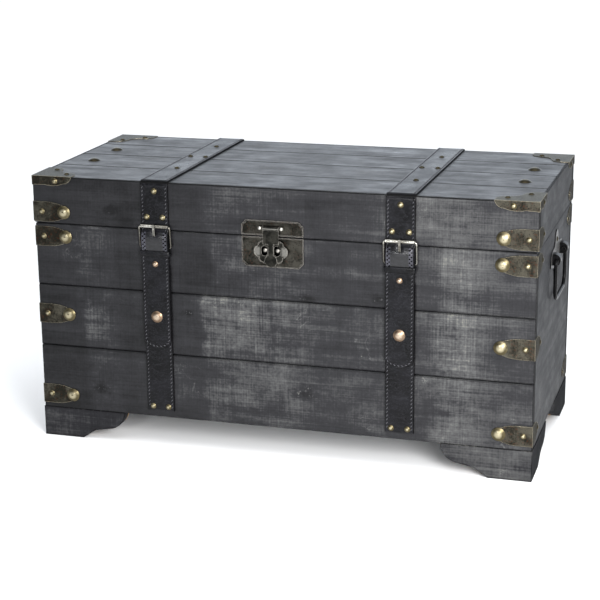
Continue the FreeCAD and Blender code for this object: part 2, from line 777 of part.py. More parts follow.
def hasp(x):
    """Leaf rolled round the rod, with a raised edge, a raised spine and two oval windows."""
    front = HASP_BACK - HASP_T
    face = front - HASP_RISE
    bead = hasp_leaf(x, 0, face, front).cut(hasp_leaf(x, HASP_BEAD, face, front))
    chin_z, chin_r = HASP_DISCS[1]
    spine = [
        block(x - HASP_HALF, x + HASP_HALF, face, front, HASP_NECK_LOW + 8, ROD_Z),
        block(x - SPINE_HALF, x + SPINE_HALF, face, front, chin_z, HASP_NECK_LOW + 9),
        rod((x, face, chin_z), (0, 1, 0), chin_r, HASP_RISE),
    ]
    barrel = rod((x - HASP_HALF, ROD_Y, ROD_Z), (1, 0, 0), BARREL_R, 2 * HASP_HALF)
    leaf = hasp_leaf(x, 0, front, HASP_BACK)
    shape = fuse([leaf, bead, barrel] + spine)
    shape = shape.cut(rod((x - 25, ROD_Y, ROD_Z), (1, 0, 0), ROD_R + RUN_FIT, 50))
    for dx in (-WINDOW_X, WINDOW_X):
        shape = shape.cut(window(x + dx, face - 1, HASP_BACK + 1))
    return shape


# ---- handles ---------------------------------------------------------------------------------
KNUCKLE_Y = 40.0            # centre of each knuckle from the handle's middle
KNUCKLE_HALF = 7.0
PIVOT_OUT = 8.0             # pivot axis from the end panel
BAIL_R = 3.0
BAIL_DROP = 62.0            # pivot to the middle of the grip
BAIL_BEND = 18.0
HANDLE_PLATE = 1.5
HANDLE_SCREWS = ((0.0, 333.0), (0.0, 276.0))


def handle_plate():
    """Right handle's back plate, a petal above and below, with two knuckles for the bail."""
    x0 = CASE_X
    x1 = CASE_X + HANDLE_PLATE
    y = HANDLE_Y
    z = HANDLE_Z
    steps = [
        (y + 54, z - 12),
        ((y + 58, z), (y + 54, z + 12)),
        (y + 34, z + 15),
        ((y + 20, z + 19), (y + 14, z + 28)),
        ((y, z + 39), (y - 14, z + 28)),
        ((y - 20, z + 19), (y - 34, z + 15)),
        (y - 54, z + 12),
        ((y - 58, z), (y - 54, z - 12)),
        (y - 34, z - 15),
        ((y - 20, z - 23), (y - 14, z - 36)),
        ((y, z - 49), (y + 14, z - 36)),
        ((y + 20, z - 23), (y + 34, z - 15)),
    ]
    plate = prism((y + 34, z - 15), steps, "x", x0, x1)
    axis_x = CASE_X + PIVOT_OUT
    knuckles = []
    for dy in (-KNUCKLE_Y, KNUCKLE_Y):
        low = y + dy - KNUCKLE_HALF
        steps = [
            (x1, z + 10),
            ((axis_x + 5.2, z + 5.8), (axis_x + 6.5, z - 1)),
            (axis_x + 4, z - 6.5),
            (x1, z - 8),
        ]
        knuckles.append(prism((x1, z - 8), steps, "y", low, low + 2 * KNUCKLE_HALF))
    shape = fuse([plate] + knuckles)
    bore = rod((axis_x, y - 60, z), (0, 1, 0), BAIL_R + RUN_FIT, 120)
    shape = shape.cut(bore)
    holes = [shank_hole((x1, y + dy, hz), (1, 0, 0), RIVET_SHANK) for dy, hz in HANDLE_SCREWS]
    return shape.cut(Part.makeCompound(holes))


def bail():
    """Right handle's bail: round bar with its ends turned in through the knuckles."""
    x = CASE_X + PIVOT_OUT
    y = HANDLE_Y
    z = HANDLE_Z
    elbow = BAIL_R + 2.0
    leg = KNUCKLE_Y + KNUCKLE_HALF + 0.4 + elbow
    bottom = z - BAIL_DROP
    bend = BAIL_BEND
    stub = KNUCKLE_Y - KNUCKLE_HALF - 1.5

    def corner(centre_y, centre_z, radius, from_angle, to_angle):
        points = []
        for share in (0, 0.5, 1):
            angle = math.radians(from_angle + (to_angle - from_angle) * share)
            side = centre_y + radius * math.cos(angle)
            height = centre_z + radius * math.sin(angle)
            points.append(Vector(x, side, height))
        return Part.Arc(*points).toShape()

    edges = [
        Part.LineSegment(Vector(x, y - stub, z), Vector(x, y - leg + elbow, z)).toShape(),
        corner(y - leg + elbow, z - elbow, elbow, 90, 180),
        Part.LineSegment(Vector(x, y - leg, z - elbow), Vector(x, y - leg, bottom + bend)).toShape(),
        corner(y - leg + bend, bottom + bend, bend, 180, 270),
        Part.LineSegment(Vector(x, y - leg + bend, bottom), Vector(x, y + leg - bend, bottom)).toShape(),
        corner(y + leg - bend, bottom + bend, bend, 270, 360),
        Part.LineSegment(Vector(x, y + leg, bottom + bend), Vector(x, y + leg, z - elbow)).toShape(),
        corner(y + leg - elbow, z - elbow, elbow, 0, 90),
        Part.LineSegment(Vector(x, y + leg - elbow, z), Vector(x, y + stub, z)).toShape(),
    ]
    path = Part.Wire(edges)
    ring = Part.Wire(Part.makeCircle(BAIL_R, Vector(x, y - stub, z), Vector(0, -1, 0)))
    return path.makePipeShell([ring], True, False)


def handles():
    plate = handle_plate()
    bar = bail()
    add("handle_plates", group([mirror_x(plate), plate]))
    add("handle_bail_right", bar)
    add("handle_bail_left", mirror_x(bar))
    x1 = CASE_X + HANDLE_PLATE
    places = []
    for side in (LEFT, RIGHT):
        for dy, z in HANDLE_SCREWS:
            places.append(((side * x1, HANDLE_Y + dy, z), (side, 0, 0)))
    return places


# ---- hinges ----------------------------------------------------------------------------------
HINGE_X = 250.0
HINGE_HALF = 32.0
LEAF_T = 1.5
HINGE_Y = LID_Y + 3.5       # pin axis
HINGE_Z = SEAM - SEAM_GAP / 2
KNUCKLE_R = 3.4
PIN_R = 1.5
KNUCKLE_COUNT = 5
KNUCKLE_GAP = 0.3
LEAF_REACH = 28.0
HINGE_SCREW_X = 22.0
HINGE_SCREW_Z = 17.0


def hinge_leaf(x, on_lid):
    """One leaf on the back face with its share of the knuckles."""
    face = LID_Y if on_lid else CASE_Y
    way = 1 if on_lid else -1
    near = HINGE_Z + way * (KNUCKLE_R + 1.0)
    far = HINGE_Z + way * LEAF_REACH
    pieces = [block(x - HINGE_HALF, x + HINGE_HALF, face, face + LEAF_T, near, far)]
    pitch = 2 * HINGE_HALF / KNUCKLE_COUNT
    first = 1 if on_lid else 0
    for index in range(first, KNUCKLE_COUNT, 2):
        low = x - HINGE_HALF + index * pitch + KNUCKLE_GAP / 2
        high = low + pitch - KNUCKLE_GAP
        pieces.append(block(low, high, face, face + LEAF_T, HINGE_Z + way * 0.8, near))
        pieces.append(block(low, high, face + 0.4, HINGE_Y, HINGE_Z + way * 0.8, HINGE_Z + way * 2.6))
        pieces.append(rod((low, HINGE_Y, HINGE_Z), (1, 0, 0), KNUCKLE_R, high - low))
    leaf = fuse(pieces)
    return leaf.cut(rod((x - 60, HINGE_Y, HINGE_Z), (1, 0, 0), PIN_R + RUN_FIT, 120))


def hinges():
    """Two butt hinges on the back. Returns the screw places of the case and of the lid."""
    case_leaves = []
    lid_leaves = []
    pins = []
    case_places = []
    lid_places = []
    for x in (-HINGE_X, HINGE_X):
        lid_leaf = hinge_leaf(x, True)
        case_leaf = hinge_leaf(x, False)
        for dx in (-HINGE_SCREW_X, 0, HINGE_SCREW_X):
            lid_places.append(((x + dx, LID_Y + LEAF_T, HINGE_Z + HINGE_SCREW_Z), (0, 1, 0)))
            case_places.append(((x + dx, CASE_Y + LEAF_T, HINGE_Z - HINGE_SCREW_Z), (0, 1, 0)))
        for at, way in lid_places[-3:]:
            lid_leaf = lid_leaf.cut(shank_hole(at, way, RIVET_SHANK))
        for at, way in case_places[-3:]:
            case_leaf = case_leaf.cut(shank_hole(at, way, RIVET_SHANK))
        lid_leaves.append(lid_leaf)
        case_leaves.append(case_leaf)
        half = HINGE_HALF
        pin = [
            rod((x - half, HINGE_Y, HINGE_Z), (1, 0, 0), PIN_R, 2 * half),
            rod((x - half - 1.2, HINGE_Y, HINGE_Z), (1, 0, 0), 2.6, 1.2),
            rod((x + half, HINGE_Y, HINGE_Z), (1, 0, 0), 2.6, 1.2),
        ]
        pins.append(fuse(pin))
    add("hinge_leaves_case", group(case_leaves))
    add("hinge_leaves_lid", group(lid_leaves))
    add("hinge_pins", group(pins))
    return case_places, lid_places


# ---- assembly --------------------------------------------------------------------------------
TOP_NAIL_X = 355.5          # the two dome nails near each end of the lid's top
TOP_NAIL_YS = (-45.0, 51.0)


def drill(name, places):
    """Clears the straps' holes round their rivets' shanks."""
    moved = [((at[0], at[1] + CENTRE_Y, at[2]), way) for at, way in places]
    cutters = [shank_hole(at, way, RIVET_SHANK) for at, way in moved]
    nodes[name] = nodes[name].cut(Part.makeCompound(cutters))


def main():
    os.makedirs("parts", exist_ok=True)
    case_boards()
    case_inside()
    feet()
    lid_boards()
    case_domes, case_rivets, lid_domes, lid_rivets = corner_plates()
    case_strap_places, lid_strap_places = straps()
    latch_places = latch()
    handle_places = handles()
    hinge_case_places, hinge_lid_places = hinges()

    for place in case_strap_places + latch_places:
        case_rivets.append(rivet(*place))
    for place in lid_strap_places:
        lid_rivets.append(rivet(*place))
    for side in (LEFT, RIGHT):
        for y in TOP_NAIL_YS:
            lid_domes.append(dome_nail((side * TOP_NAIL_X, y, HEIGHT), (0, 0, 1)))
    case_screws = [rivet(*place) for place in handle_places + hinge_case_places]
    lid_screws = [rivet(*place) for place in hinge_lid_places]

    for word, side in (("left", LEFT), ("right", RIGHT)):
        low = side * STRAP_X - STRAP_W
        high = side * STRAP_X + STRAP_W
        near = [place for place in case_strap_places if low < place[0][0] < high]
        drill("under_strap_" + word, near)
        near = [place for place in lid_strap_places if low < place[0][0] < high]
        drill("lid_strap_" + word, [place for place in near if place[1][2] == 0])
        drill("top_strap_" + word, [place for place in near if place[1][2] == 1])

    add("case_dome_nails", group(case_domes))
    add("case_rivets", group(case_rivets))
    add("lid_dome_nails", group(lid_domes))
    add("lid_rivets", group(lid_rivets))
    add("case_screws", group(case_screws))
    add("lid_screws", group(lid_screws))

    box = FreeCAD.BoundBox()
    for name, shape in nodes.items():
        if not shape.isValid():
            print("not valid:", name)
        shape.exportStep("parts/" + name + ".step")
        box.add(shape.BoundBox)
    low = (round(box.XMin, 2), round(box.YMin, 2), round(box.ZMin, 2))
    high = (round(box.XMax, 2), round(box.YMax, 2), round(box.ZMax, 2))
    print(len(nodes), "nodes; box", low, high)


main()
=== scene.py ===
import math

import bmesh
import bpy
import numpy as np
from mathutils import Matrix, Vector, noise


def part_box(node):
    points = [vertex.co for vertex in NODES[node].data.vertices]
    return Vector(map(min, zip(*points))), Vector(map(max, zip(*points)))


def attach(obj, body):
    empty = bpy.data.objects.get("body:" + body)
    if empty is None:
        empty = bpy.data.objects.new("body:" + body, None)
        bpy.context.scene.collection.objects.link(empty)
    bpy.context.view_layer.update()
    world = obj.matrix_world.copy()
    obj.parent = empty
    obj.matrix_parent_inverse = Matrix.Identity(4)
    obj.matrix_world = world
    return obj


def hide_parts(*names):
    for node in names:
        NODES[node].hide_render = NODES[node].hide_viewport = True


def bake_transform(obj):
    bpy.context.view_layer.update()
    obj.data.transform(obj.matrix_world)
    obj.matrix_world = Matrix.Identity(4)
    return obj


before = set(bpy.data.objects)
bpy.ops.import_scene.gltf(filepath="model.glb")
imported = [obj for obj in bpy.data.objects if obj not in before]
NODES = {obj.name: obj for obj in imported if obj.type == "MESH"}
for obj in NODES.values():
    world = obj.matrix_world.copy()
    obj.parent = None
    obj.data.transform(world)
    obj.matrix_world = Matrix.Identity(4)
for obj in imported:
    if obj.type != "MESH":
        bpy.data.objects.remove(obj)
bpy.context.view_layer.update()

SIDES = ("left", "right")
MM = 0.001

# Steamer trunk in weathered black paint, with leather straps and antique metal fittings. Metres.

# ---- places read from the frame --------------------------------------------------------------
SEAM_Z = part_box("lid_front_rail")[0].z
LID_FRONT_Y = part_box("lid_front_rail")[0].y
CASE_FRONT_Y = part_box("front_board_middle")[0].y
LID_TOP_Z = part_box("lid_plank_1")[1].z
LID_END_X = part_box("lid_front_rail")[1].x
LID_BACK_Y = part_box("lid_back_rail")[1].y
INSIDE_LOW, INSIDE_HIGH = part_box("bottom_panel")
STRAP_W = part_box("under_strap_left")[1].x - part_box("under_strap_left")[0].x
STRAP_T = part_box("top_strap_left")[1].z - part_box("top_strap_left")[0].z


# ---- shader helper ---------------------------------------------------------------------------
def srgb(red, green, blue):
    """Linear colour from 0-255 display values."""
    return tuple((v / 255) ** 2.2 for v in (red, green, blue)) + (1.0,)


class Shader:
    """A material's node tree, built from the surface colour down to the shader's sockets."""

    def __init__(self, name):
        self.material = bpy.data.materials.new(name)
        self.material.use_nodes = True
        self.tree = self.material.node_tree
        self.tree.nodes.clear()
        self.shader = self.add("ShaderNodeBsdfPrincipled")
        output = self.add("ShaderNodeOutputMaterial")
        self.tree.links.new(self.shader.outputs["BSDF"], output.inputs["Surface"])
        coordinates = self.add("ShaderNodeTexCoord")
        self.place = coordinates.outputs["Object"]
        self.facing = coordinates.outputs["Normal"]

    def add(self, kind, inputs=None, **settings):
        node = self.tree.nodes.new(kind)
        for key, value in settings.items():
            setattr(node, key, value)
        for key, value in (inputs or {}).items():
            self.put(node.inputs[key], value)
        return node

    def put(self, socket, value):
        if isinstance(value, bpy.types.NodeSocket):
            self.tree.links.new(value, socket)
        else:
            socket.default_value = value

    def set(self, **values):
        """Fills the shader's sockets, with underscores for spaces."""
        for key, value in values.items():
            self.put(self.shader.inputs[key.replace("_", " ")], value)

    def math(self, operation, a, b=0.0, clamp=False):
        node = self.add("ShaderNodeMath", {0: a, 1: b}, operation=operation, use_clamp=clamp)
        return node.outputs[0]

    def scaled(self, scale, offset=(0, 0, 0)):
        node = self.add("ShaderNodeMapping", {"Vector": self.place, "Location": offset, "Scale": scale})
        return node.outputs[0]

    def noise(self, scale, offset=(0, 0, 0), detail=3.0, roughness=0.55, distortion=0.0):
        """Noise from 0 to 1. `scale` is cells a metre along X, Y and Z."""
        vector = self.scaled(scale, offset)
        sizes = {"Vector": vector, "Scale": 1.0, "Detail": detail, "Roughness": roughness,
                 "Distortion": distortion}
        return self.add("ShaderNodeTexNoise", sizes).outputs["Fac"]

    def cells(self, scale, offset=(0, 0, 0)):
        """Distance to the nearest of scattered points, in cells."""
        vector = self.scaled(scale, offset)
        node = self.add("ShaderNodeTexVoronoi", {"Vector": vector, "Scale": 1.0}, feature="F1")
        return node.outputs["Distance"]

    def ramp(self, value, low, high, to_low=0.0, to_high=1.0):
        """Smooth step of a value between two levels."""
        levels = {"Value": value, "From Min": low, "From Max": high, "To Min": to_low, "To Max": to_high}
        node = self.add("ShaderNodeMapRange", levels, interpolation_type="SMOOTHSTEP")
        return node.outputs["Result"]

    def blend(self, share, a, b):
        """Colour from `a` at a share of 0 to `b` at 1."""
        node = self.add("ShaderNodeMix", data_type="RGBA", blend_type="MIX")
        node.clamp_factor = True
        self.put(node.inputs["Factor"], share)
        self.put(node.inputs[6], a)
        self.put(node.inputs[7], b)
        return node.outputs[2]

    def tone(self, value, stops):
        """Colour from a dark-to-light scale of (position, colour) stops."""
        node = self.add("ShaderNodeValToRGB", {"Fac": value})
        ramp = node.color_ramp
        while len(ramp.elements) < len(stops):
            ramp.elements.new(0.5)
        for element, (position, colour) in zip(ramp.elements, stops):
            element.position = position
            element.color = colour
        return node.outputs["Color"]

    def total(self, start, parts):
        """`start` plus each (noise, gain) part, the noise taken about its middle."""
        value = start
        for noise_value, gain in parts:
            centred = self.math("SUBTRACT", noise_value, 0.5)
            value = self.math("ADD", self.math("MULTIPLY", centred, gain), value)
        return value

    def facings(self):
        """The object's own normal, split along X, Y and Z."""
        return self.add("ShaderNodeSeparateXYZ", {0: self.facing}).outputs

    def end_face(self, low, high):
        """1 where a face looks along X."""
        return self.ramp(self.math("ABSOLUTE", self.facings()[0]), low, high)

    def crown(self, low, high):
        """1 on a dome's crown, 0 on its rim, wherever the dome faces along an axis."""
        sizes = [self.math("ABSOLUTE", part) for part in self.facings()]
        most = self.math("MAXIMUM", self.math("MAXIMUM", sizes[0], sizes[1]), sizes[2])
        return self.ramp(most, low, high)

    def edges(self, radius, low=0.01, high=0.12):
        """1 on outer and inner edges, 0 on open faces, from a rounded normal."""
        soft = self.add("ShaderNodeBevel", {"Radius": radius}, samples=6).outputs["Normal"]
        true = self.add("ShaderNodeNewGeometry").outputs["Normal"]
        dot = self.add("ShaderNodeVectorMath", {0: soft, 1: true}, operation="DOT_PRODUCT")
        return self.ramp(self.math("SUBTRACT", 1.0, dot.outputs["Value"]), low, high)

    def hollows(self, distance, low=0.35, high=0.95):
        """1 deep in a corner, 0 in the open."""
        node = self.add("ShaderNodeAmbientOcclusion", {"Distance": distance}, samples=6)
        return self.ramp(node.outputs["AO"], low, high, 1.0, 0.0)

    def within(self, box):
        """1 inside a box's extent along X and Z."""
        x, _, z = self.axes()
        mask = 1.0
        for value, low, high in ((x, box[0].x, box[1].x), (z, box[0].z, box[1].z)):
            mask = self.math("MULTIPLY", self.math("GREATER_THAN", value, low), mask)
            mask = self.math("MULTIPLY", self.math("LESS_THAN", value, high), mask)
        return mask

    def bump(self, height, distance, strength=1.0, under=None):
        values = {"Height": height, "Distance": distance, "Strength": strength}
        if under is not None:
            values["Normal"] = under
        return self.add("ShaderNodeBump", values).outputs["Normal"]

    def axes(self):
        """The object's own place, split along X, Y and Z."""
        return self.add("ShaderNodeSeparateXYZ", {0: self.place}).outputs


def paint(names, material):
    for name in names:
        slots = NODES[name].data.materials
        slots.clear()
        slots.append(material)


# ---- wood ------------------------------------------------------------------------------------
# Where the front's paint is rubbed through: from, to, soft edge at each end, strength. Metres along X.
WORN = ((-0.322, -0.264, 0.016, 0.024, 0.78), (-0.113, 0.040, 0.007, 0.050, 1.0),
        (0.248, 0.318, 0.014, 0.030, 1.15))
WOOD_TONES = ((0.0, srgb(17, 17, 18)), (0.30, srgb(38, 38, 40)), (0.55, srgb(74, 74, 74)),
              (0.80, srgb(118, 118, 109)), (1.0, srgb(156, 155, 144)))


PINE = (srgb(120, 92, 62), srgb(168, 136, 98))      # dark and light grain of bare pine
PINE_INSIDE = (PINE[0], srgb(172, 140, 102))
END_SKIN = 0.4 * MM         # depth of the darker end grain
BARE_SKIN = 0.6 * MM        # how far past the inside the bare wood's colour reaches
LIP_LINE = 1.7 * MM         # height of the black line along the lid's top arris: partly dirt, partly a painted shadow gap
PLANK_DEEP = 7.5 * MM       # the lid planks' painted depth


def painted_wood(name, along, offset, worn=0.0, knots=(), end_x=None, end_dark=0.40, matte=0.0,
                 shine=0.19, lift=0.0):
    """Black wash over pine, rubbed through in bands, with knots, scuffs and dark arrises, their darkness
    partly dirty paint and partly painted shade.

    `worn` is the strength of the rubbed bands, and any `worn` also brings a painted light that darkens
    the board towards the left. `end_x` is the place of the end grain and `end_dark` how much darker it
    is. `matte` takes gloss and grain away, `shine` is the specular level, and `lift` makes the whole
    paler; the right-hand feet's larger `lift` is painted light.
    """
    s = Shader(name)
    run = {"x": lambda a, b: (a, b, b), "y": lambda a, b: (b, a, b), "z": lambda a, b: (b, b, a)}[along]
    fibre = s.noise(run(8.0, 560.0), offset, 3.0, 0.6)
    figure = s.noise(run(2.2, 44.0), offset, 5.0, 0.6, 1.0)
    saw = s.noise(run(520.0, 16.0), offset, 2.0, 0.55)
    cloud = s.noise((8.0, 8.0, 8.0), offset, 3.0, 0.55)
    blotch = s.noise(run(20.0, 36.0), offset, 5.0, 0.66)
    crumb = s.noise((260.0, 260.0, 260.0), offset, 3.0, 0.6)
    column = s.noise(run(34.0, 3.0), (0.4, 0.1, 0.3), 3.0, 0.6)
    x, y, z = s.axes()

    # Rubbed bands wander, and show the grain and the saw marks.
    shifted = s.total(x, ((cloud, 0.055), (blotch, 0.030)))
    rub = s.ramp(cloud, 0.58, 0.80, 0.0, 0.35)
    for low, high, low_soft, high_soft, strength in WORN if worn else ():
        band = s.math("MULTIPLY", s.ramp(shifted, low - low_soft, low + low_soft, 0.0, strength * worn),
                      s.ramp(shifted, high - high_soft, high + high_soft, 1.0, 0.0))
        rub = s.math("MAXIMUM", rub, s.math("MULTIPLY", band, s.ramp(blotch, 0.28, 0.68, 0.55, 1.0)))
    strength = s.total(0.25, ((fibre, 0.20), (saw, 0.26), (blotch, 0.16), (crumb, 0.14), (column, 0.30)))
    value = s.total(0.26, ((cloud, 0.36), (blotch, 0.36), (figure, 0.36), (fibre, 0.26), (saw, 0.18),
                           (crumb, 0.22), (column, 0.10)))
    value = s.math("ADD", value, s.math("MULTIPLY", rub, strength))
    # Painted light: darker towards the left and paler towards the right, as the key lamp falls from the
    # right.
    if worn:
        value = s.math("ADD", value, s.ramp(x, -0.42, 0.42, -0.13, 0.07))
    # `lift` pales the whole surface; on the right-hand feet it is painted light.
    value = s.math("ADD", value, lift - matte * 0.04)

    for knot_x, knot_z, size in knots:
        across = s.math("MULTIPLY", s.math("SUBTRACT", x, knot_x), 0.6)
        reach = s.math("POWER", s.math("SUBTRACT", z, knot_z), 2.0)
        reach = s.math("SQRT", s.math("ADD", reach, s.math("POWER", across, 2.0)))
        reach = s.total(reach, ((blotch, size * 1.4),))
        knot = s.ramp(reach, 0.0, size, 1.0, 0.0)
        value = s.math("SUBTRACT", value, s.math("MULTIPLY", knot, 0.24))
        fleck = s.math("MULTIPLY", s.ramp(crumb, 0.58, 0.66), s.ramp(knot, 0.35, 0.65))
        value = s.math("ADD", value, s.math("MULTIPLY", fleck, 0.40))

    # Curled scuffs, pits and pale nicks.
    curl = s.noise((26.0, 26.0, 26.0), (4.0, 1.0, 2.0), 3.0, 0.6, 0.6)
    line = s.ramp(s.math("ABSOLUTE", s.math("SUBTRACT", curl, 0.5)), 0.0, 0.008, 1.0, 0.0)
    line = s.math("MULTIPLY", line, s.ramp(cloud, 0.59, 0.64))
    value = s.math("ADD", value, s.math("MULTIPLY", line, 0.16))
    pits = s.ramp(s.cells((36.0, 36.0, 36.0), offset), 0.0, 0.045, 1.0, 0.0)
    pits = s.math("MULTIPLY", pits, s.ramp(cloud, 0.48, 0.54))
    value = s.math("SUBTRACT", value, s.math("MULTIPLY", pits, 0.35))
    nicks = s.ramp(s.cells((30.0, 30.0, 30.0), (0.7, 0.3, 0.9)), 0.0, 0.04, 1.0, 0.0)
    nicks = s.math("MULTIPLY", nicks, s.ramp(blotch, 0.52, 0.44))
    value = s.math("ADD", value, s.math("MULTIPLY", nicks, 0.45))
    if end_x:
        end_grain = s.math("GREATER_THAN", s.math("ABSOLUTE", x), end_x - END_SKIN)
        value = s.math("SUBTRACT", value, s.math("MULTIPLY", end_grain, end_dark))

    colour = s.tone(value, WOOD_TONES)
    # Dark arrises and joints: partly dirty paint, partly painted shade along the edges.
    arris = s.edges(0.0024, 0.004, 0.05)
    colour = s.blend(s.math("MULTIPLY", arris, 0.9), colour, srgb(11, 11, 13))
    chip = s.ramp(s.total(0.5, ((blotch, 0.9), (crumb, 0.5))), 0.53, 0.62)
    chip = s.math("MULTIPLY", s.edges(0.0009), chip, True)
    colour = s.blend(s.math("MULTIPLY", chip, 0.45), colour, srgb(140, 138, 133))
    # Painted shade: near black in corners and round the fittings, where shade falls.
    colour = s.blend(s.hollows(0.006), colour, srgb(8, 8, 9))
    # Black line along the rails' top arris: partly dirty paint, partly a painted shadow gap under the
    # planks.
    if name.endswith("_rail"):
        colour = s.blend(s.math("GREATER_THAN", z, LID_TOP_Z - LIP_LINE), colour, srgb(6, 6, 7))

    # Bare wood on the inside faces.
    in_x = s.math("LESS_THAN", s.math("ABSOLUTE", x), INSIDE_HIGH.x + BARE_SKIN)
    in_back = s.math("LESS_THAN", y, INSIDE_HIGH.y + BARE_SKIN)
    in_front = s.math("GREATER_THAN", y, INSIDE_LOW.y - BARE_SKIN)
    in_z = s.math("LESS_THAN", z, LID_TOP_Z - PLANK_DEEP)
    inside = s.math("MULTIPLY", s.math("MULTIPLY", in_x, in_z), s.math("MULTIPLY", in_back, in_front))
    grain = s.total(0.5, ((fibre, 0.5), (figure, 0.6)))
    bare = s.blend(s.ramp(grain, 0.38, 0.62), *PINE)
    colour = s.blend(inside, colour, bare)

    gloss = s.total(0.42, ((blotch, 0.55), (figure, 0.35)))
    gloss = s.math("ADD", gloss, s.math("MULTIPLY", rub, 0.12))
    gloss = s.math("ADD", gloss, matte * 0.28)
    if end_x:
        gloss = s.math("ADD", gloss, s.math("MULTIPLY", end_grain, 0.5))
    gloss = s.math("ADD", s.math("MAXIMUM", gloss, 0.22), s.math("MULTIPLY", arris, 0.4), True)
    height = s.total(0.5, ((fibre, 0.7), (saw, 0.35), (crumb, 0.2)))
    coarse = s.bump(figure, 0.0007, 0.5 - 0.3 * matte)
    s.set(Base_Color=colour, Roughness=gloss, Normal=s.bump(height, 0.00022, 0.6 - 0.3 * matte, coarse))
    s.set(Specular_IOR_Level=shine)
    return s.material


def raw_wood(name):
    """Unpainted pine and ply of the inside parts."""
    s = Shader(name)
    fibre = s.noise((6.0, 260.0, 260.0), (0, 0, 0), 4.0, 0.6)
    figure = s.noise((2.0, 30.0, 30.0), (0, 0, 0), 4.0, 0.6, 1.2)
    grain = s.math("ADD", s.math("MULTIPLY", fibre, 0.5), s.math("MULTIPLY", figure, 0.5))
    colour = s.blend(s.ramp(grain, 0.35, 0.65), *PINE_INSIDE)
    # Painted shade: darker brown in the corners, where shade falls.
    colour = s.blend(s.hollows(0.02), colour, srgb(60, 46, 32))
    under = s.math("LESS_THAN", s.axes()[2], INSIDE_LOW.z + BARE_SKIN)
    colour = s.blend(under, colour, srgb(34, 34, 37))
    level = s.ramp(fibre, 0.3, 0.7, 0.55, 0.75)
    s.set(Base_Color=colour, Roughness=level, Normal=s.bump(fibre, 0.0003, 0.6))
    return s.material


# ---- metal -----------------------------------------------------------------------------------
def antique_metal(name, bright, dull, stain, rough=(0.26, 0.42), rim=(0.8, 0.0012),
                  rim_colour=(196, 186, 160), shaded_below=None, behind=None):
    """Lacquered plated steel: rubbed and tarnished, with stained spots and bright thin rims that are
    partly worn metal and partly painted highlight.

    `rim` is the strength and reach of the bright edges. Below the given height it is painted darker,
    as shade.
    It is painted black inside the box `behind`, as the shadow seen through the hasp's windows.
    """
    s = Shader(name)
    cloud = s.noise((38.0, 38.0, 38.0), (0.3, 0.1, 0.7), 4.0, 0.6)
    fleck = s.noise((420.0, 420.0, 420.0), (0, 0, 0), 3.0, 0.6)
    brushed = s.noise((1100.0, 1100.0, 60.0), (0, 0, 0), 2.0, 0.5)
    # Painted light: the metal is paler towards the right, where the key lamp falls, and darker towards the
    # left.
    right = s.ramp(s.axes()[0], -0.42, 0.42, 0.0, 0.22)
    shine = s.total(right, ((cloud, 1.7), (brushed, 0.35), (fleck, 0.8)))
    colour = s.blend(s.ramp(shine, -0.15, 0.45), dull, bright)
    spots = s.math("MULTIPLY", s.ramp(fleck, 0.55, 0.66), s.ramp(cloud, 0.44, 0.58, 1.0, 0.0))
    colour = s.blend(s.math("MULTIPLY", spots, 0.8), colour, stain)
    colour = s.blend(s.math("MULTIPLY", s.hollows(0.0030, 0.40, 0.90), 0.9), colour, srgb(16, 14, 11))
    # Painted shade: the buckle's bars and prong are darker below the given height, where they fall in
    # shade.
    if shaded_below:
        low = s.ramp(s.axes()[2], shaded_below - 0.002, shaded_below, 0.75, 0.0)
        colour = s.blend(low, colour, srgb(58, 56, 52))
    # Painted shade: faces looking along X, on the trunk's ends, are painted darker.
    wall = s.end_face(0.8, 0.95)
    colour = s.blend(s.math("MULTIPLY", wall, 0.6), colour, srgb(22, 18, 15))
    # Bright rims: partly worn metal, partly painted highlight along the edges.
    strength, reach = rim
    colour = s.blend(s.math("MULTIPLY", s.edges(reach, 0.02, 0.10), strength), colour, srgb(*rim_colour))
    # Painted shadow: black inside the box behind the hasp's windows.
    if behind:
        colour = s.blend(s.within(behind), colour, srgb(6, 6, 6))
    level = s.math("ADD", s.ramp(fleck, 0.3, 0.7, rough[0], rough[1]), s.math("MULTIPLY", wall, 0.25))
    height = s.total(0.5, ((fleck, 0.7), (brushed, 0.3)))
    s.set(Base_Color=colour, Metallic=0.9, Roughness=level, Normal=s.bump(height, 0.00012, 0.5))
    s.set(Specular_Tint=(0.6, 0.6, 0.58, 1.0), Specular_IOR_Level=0.2)
    return s.material


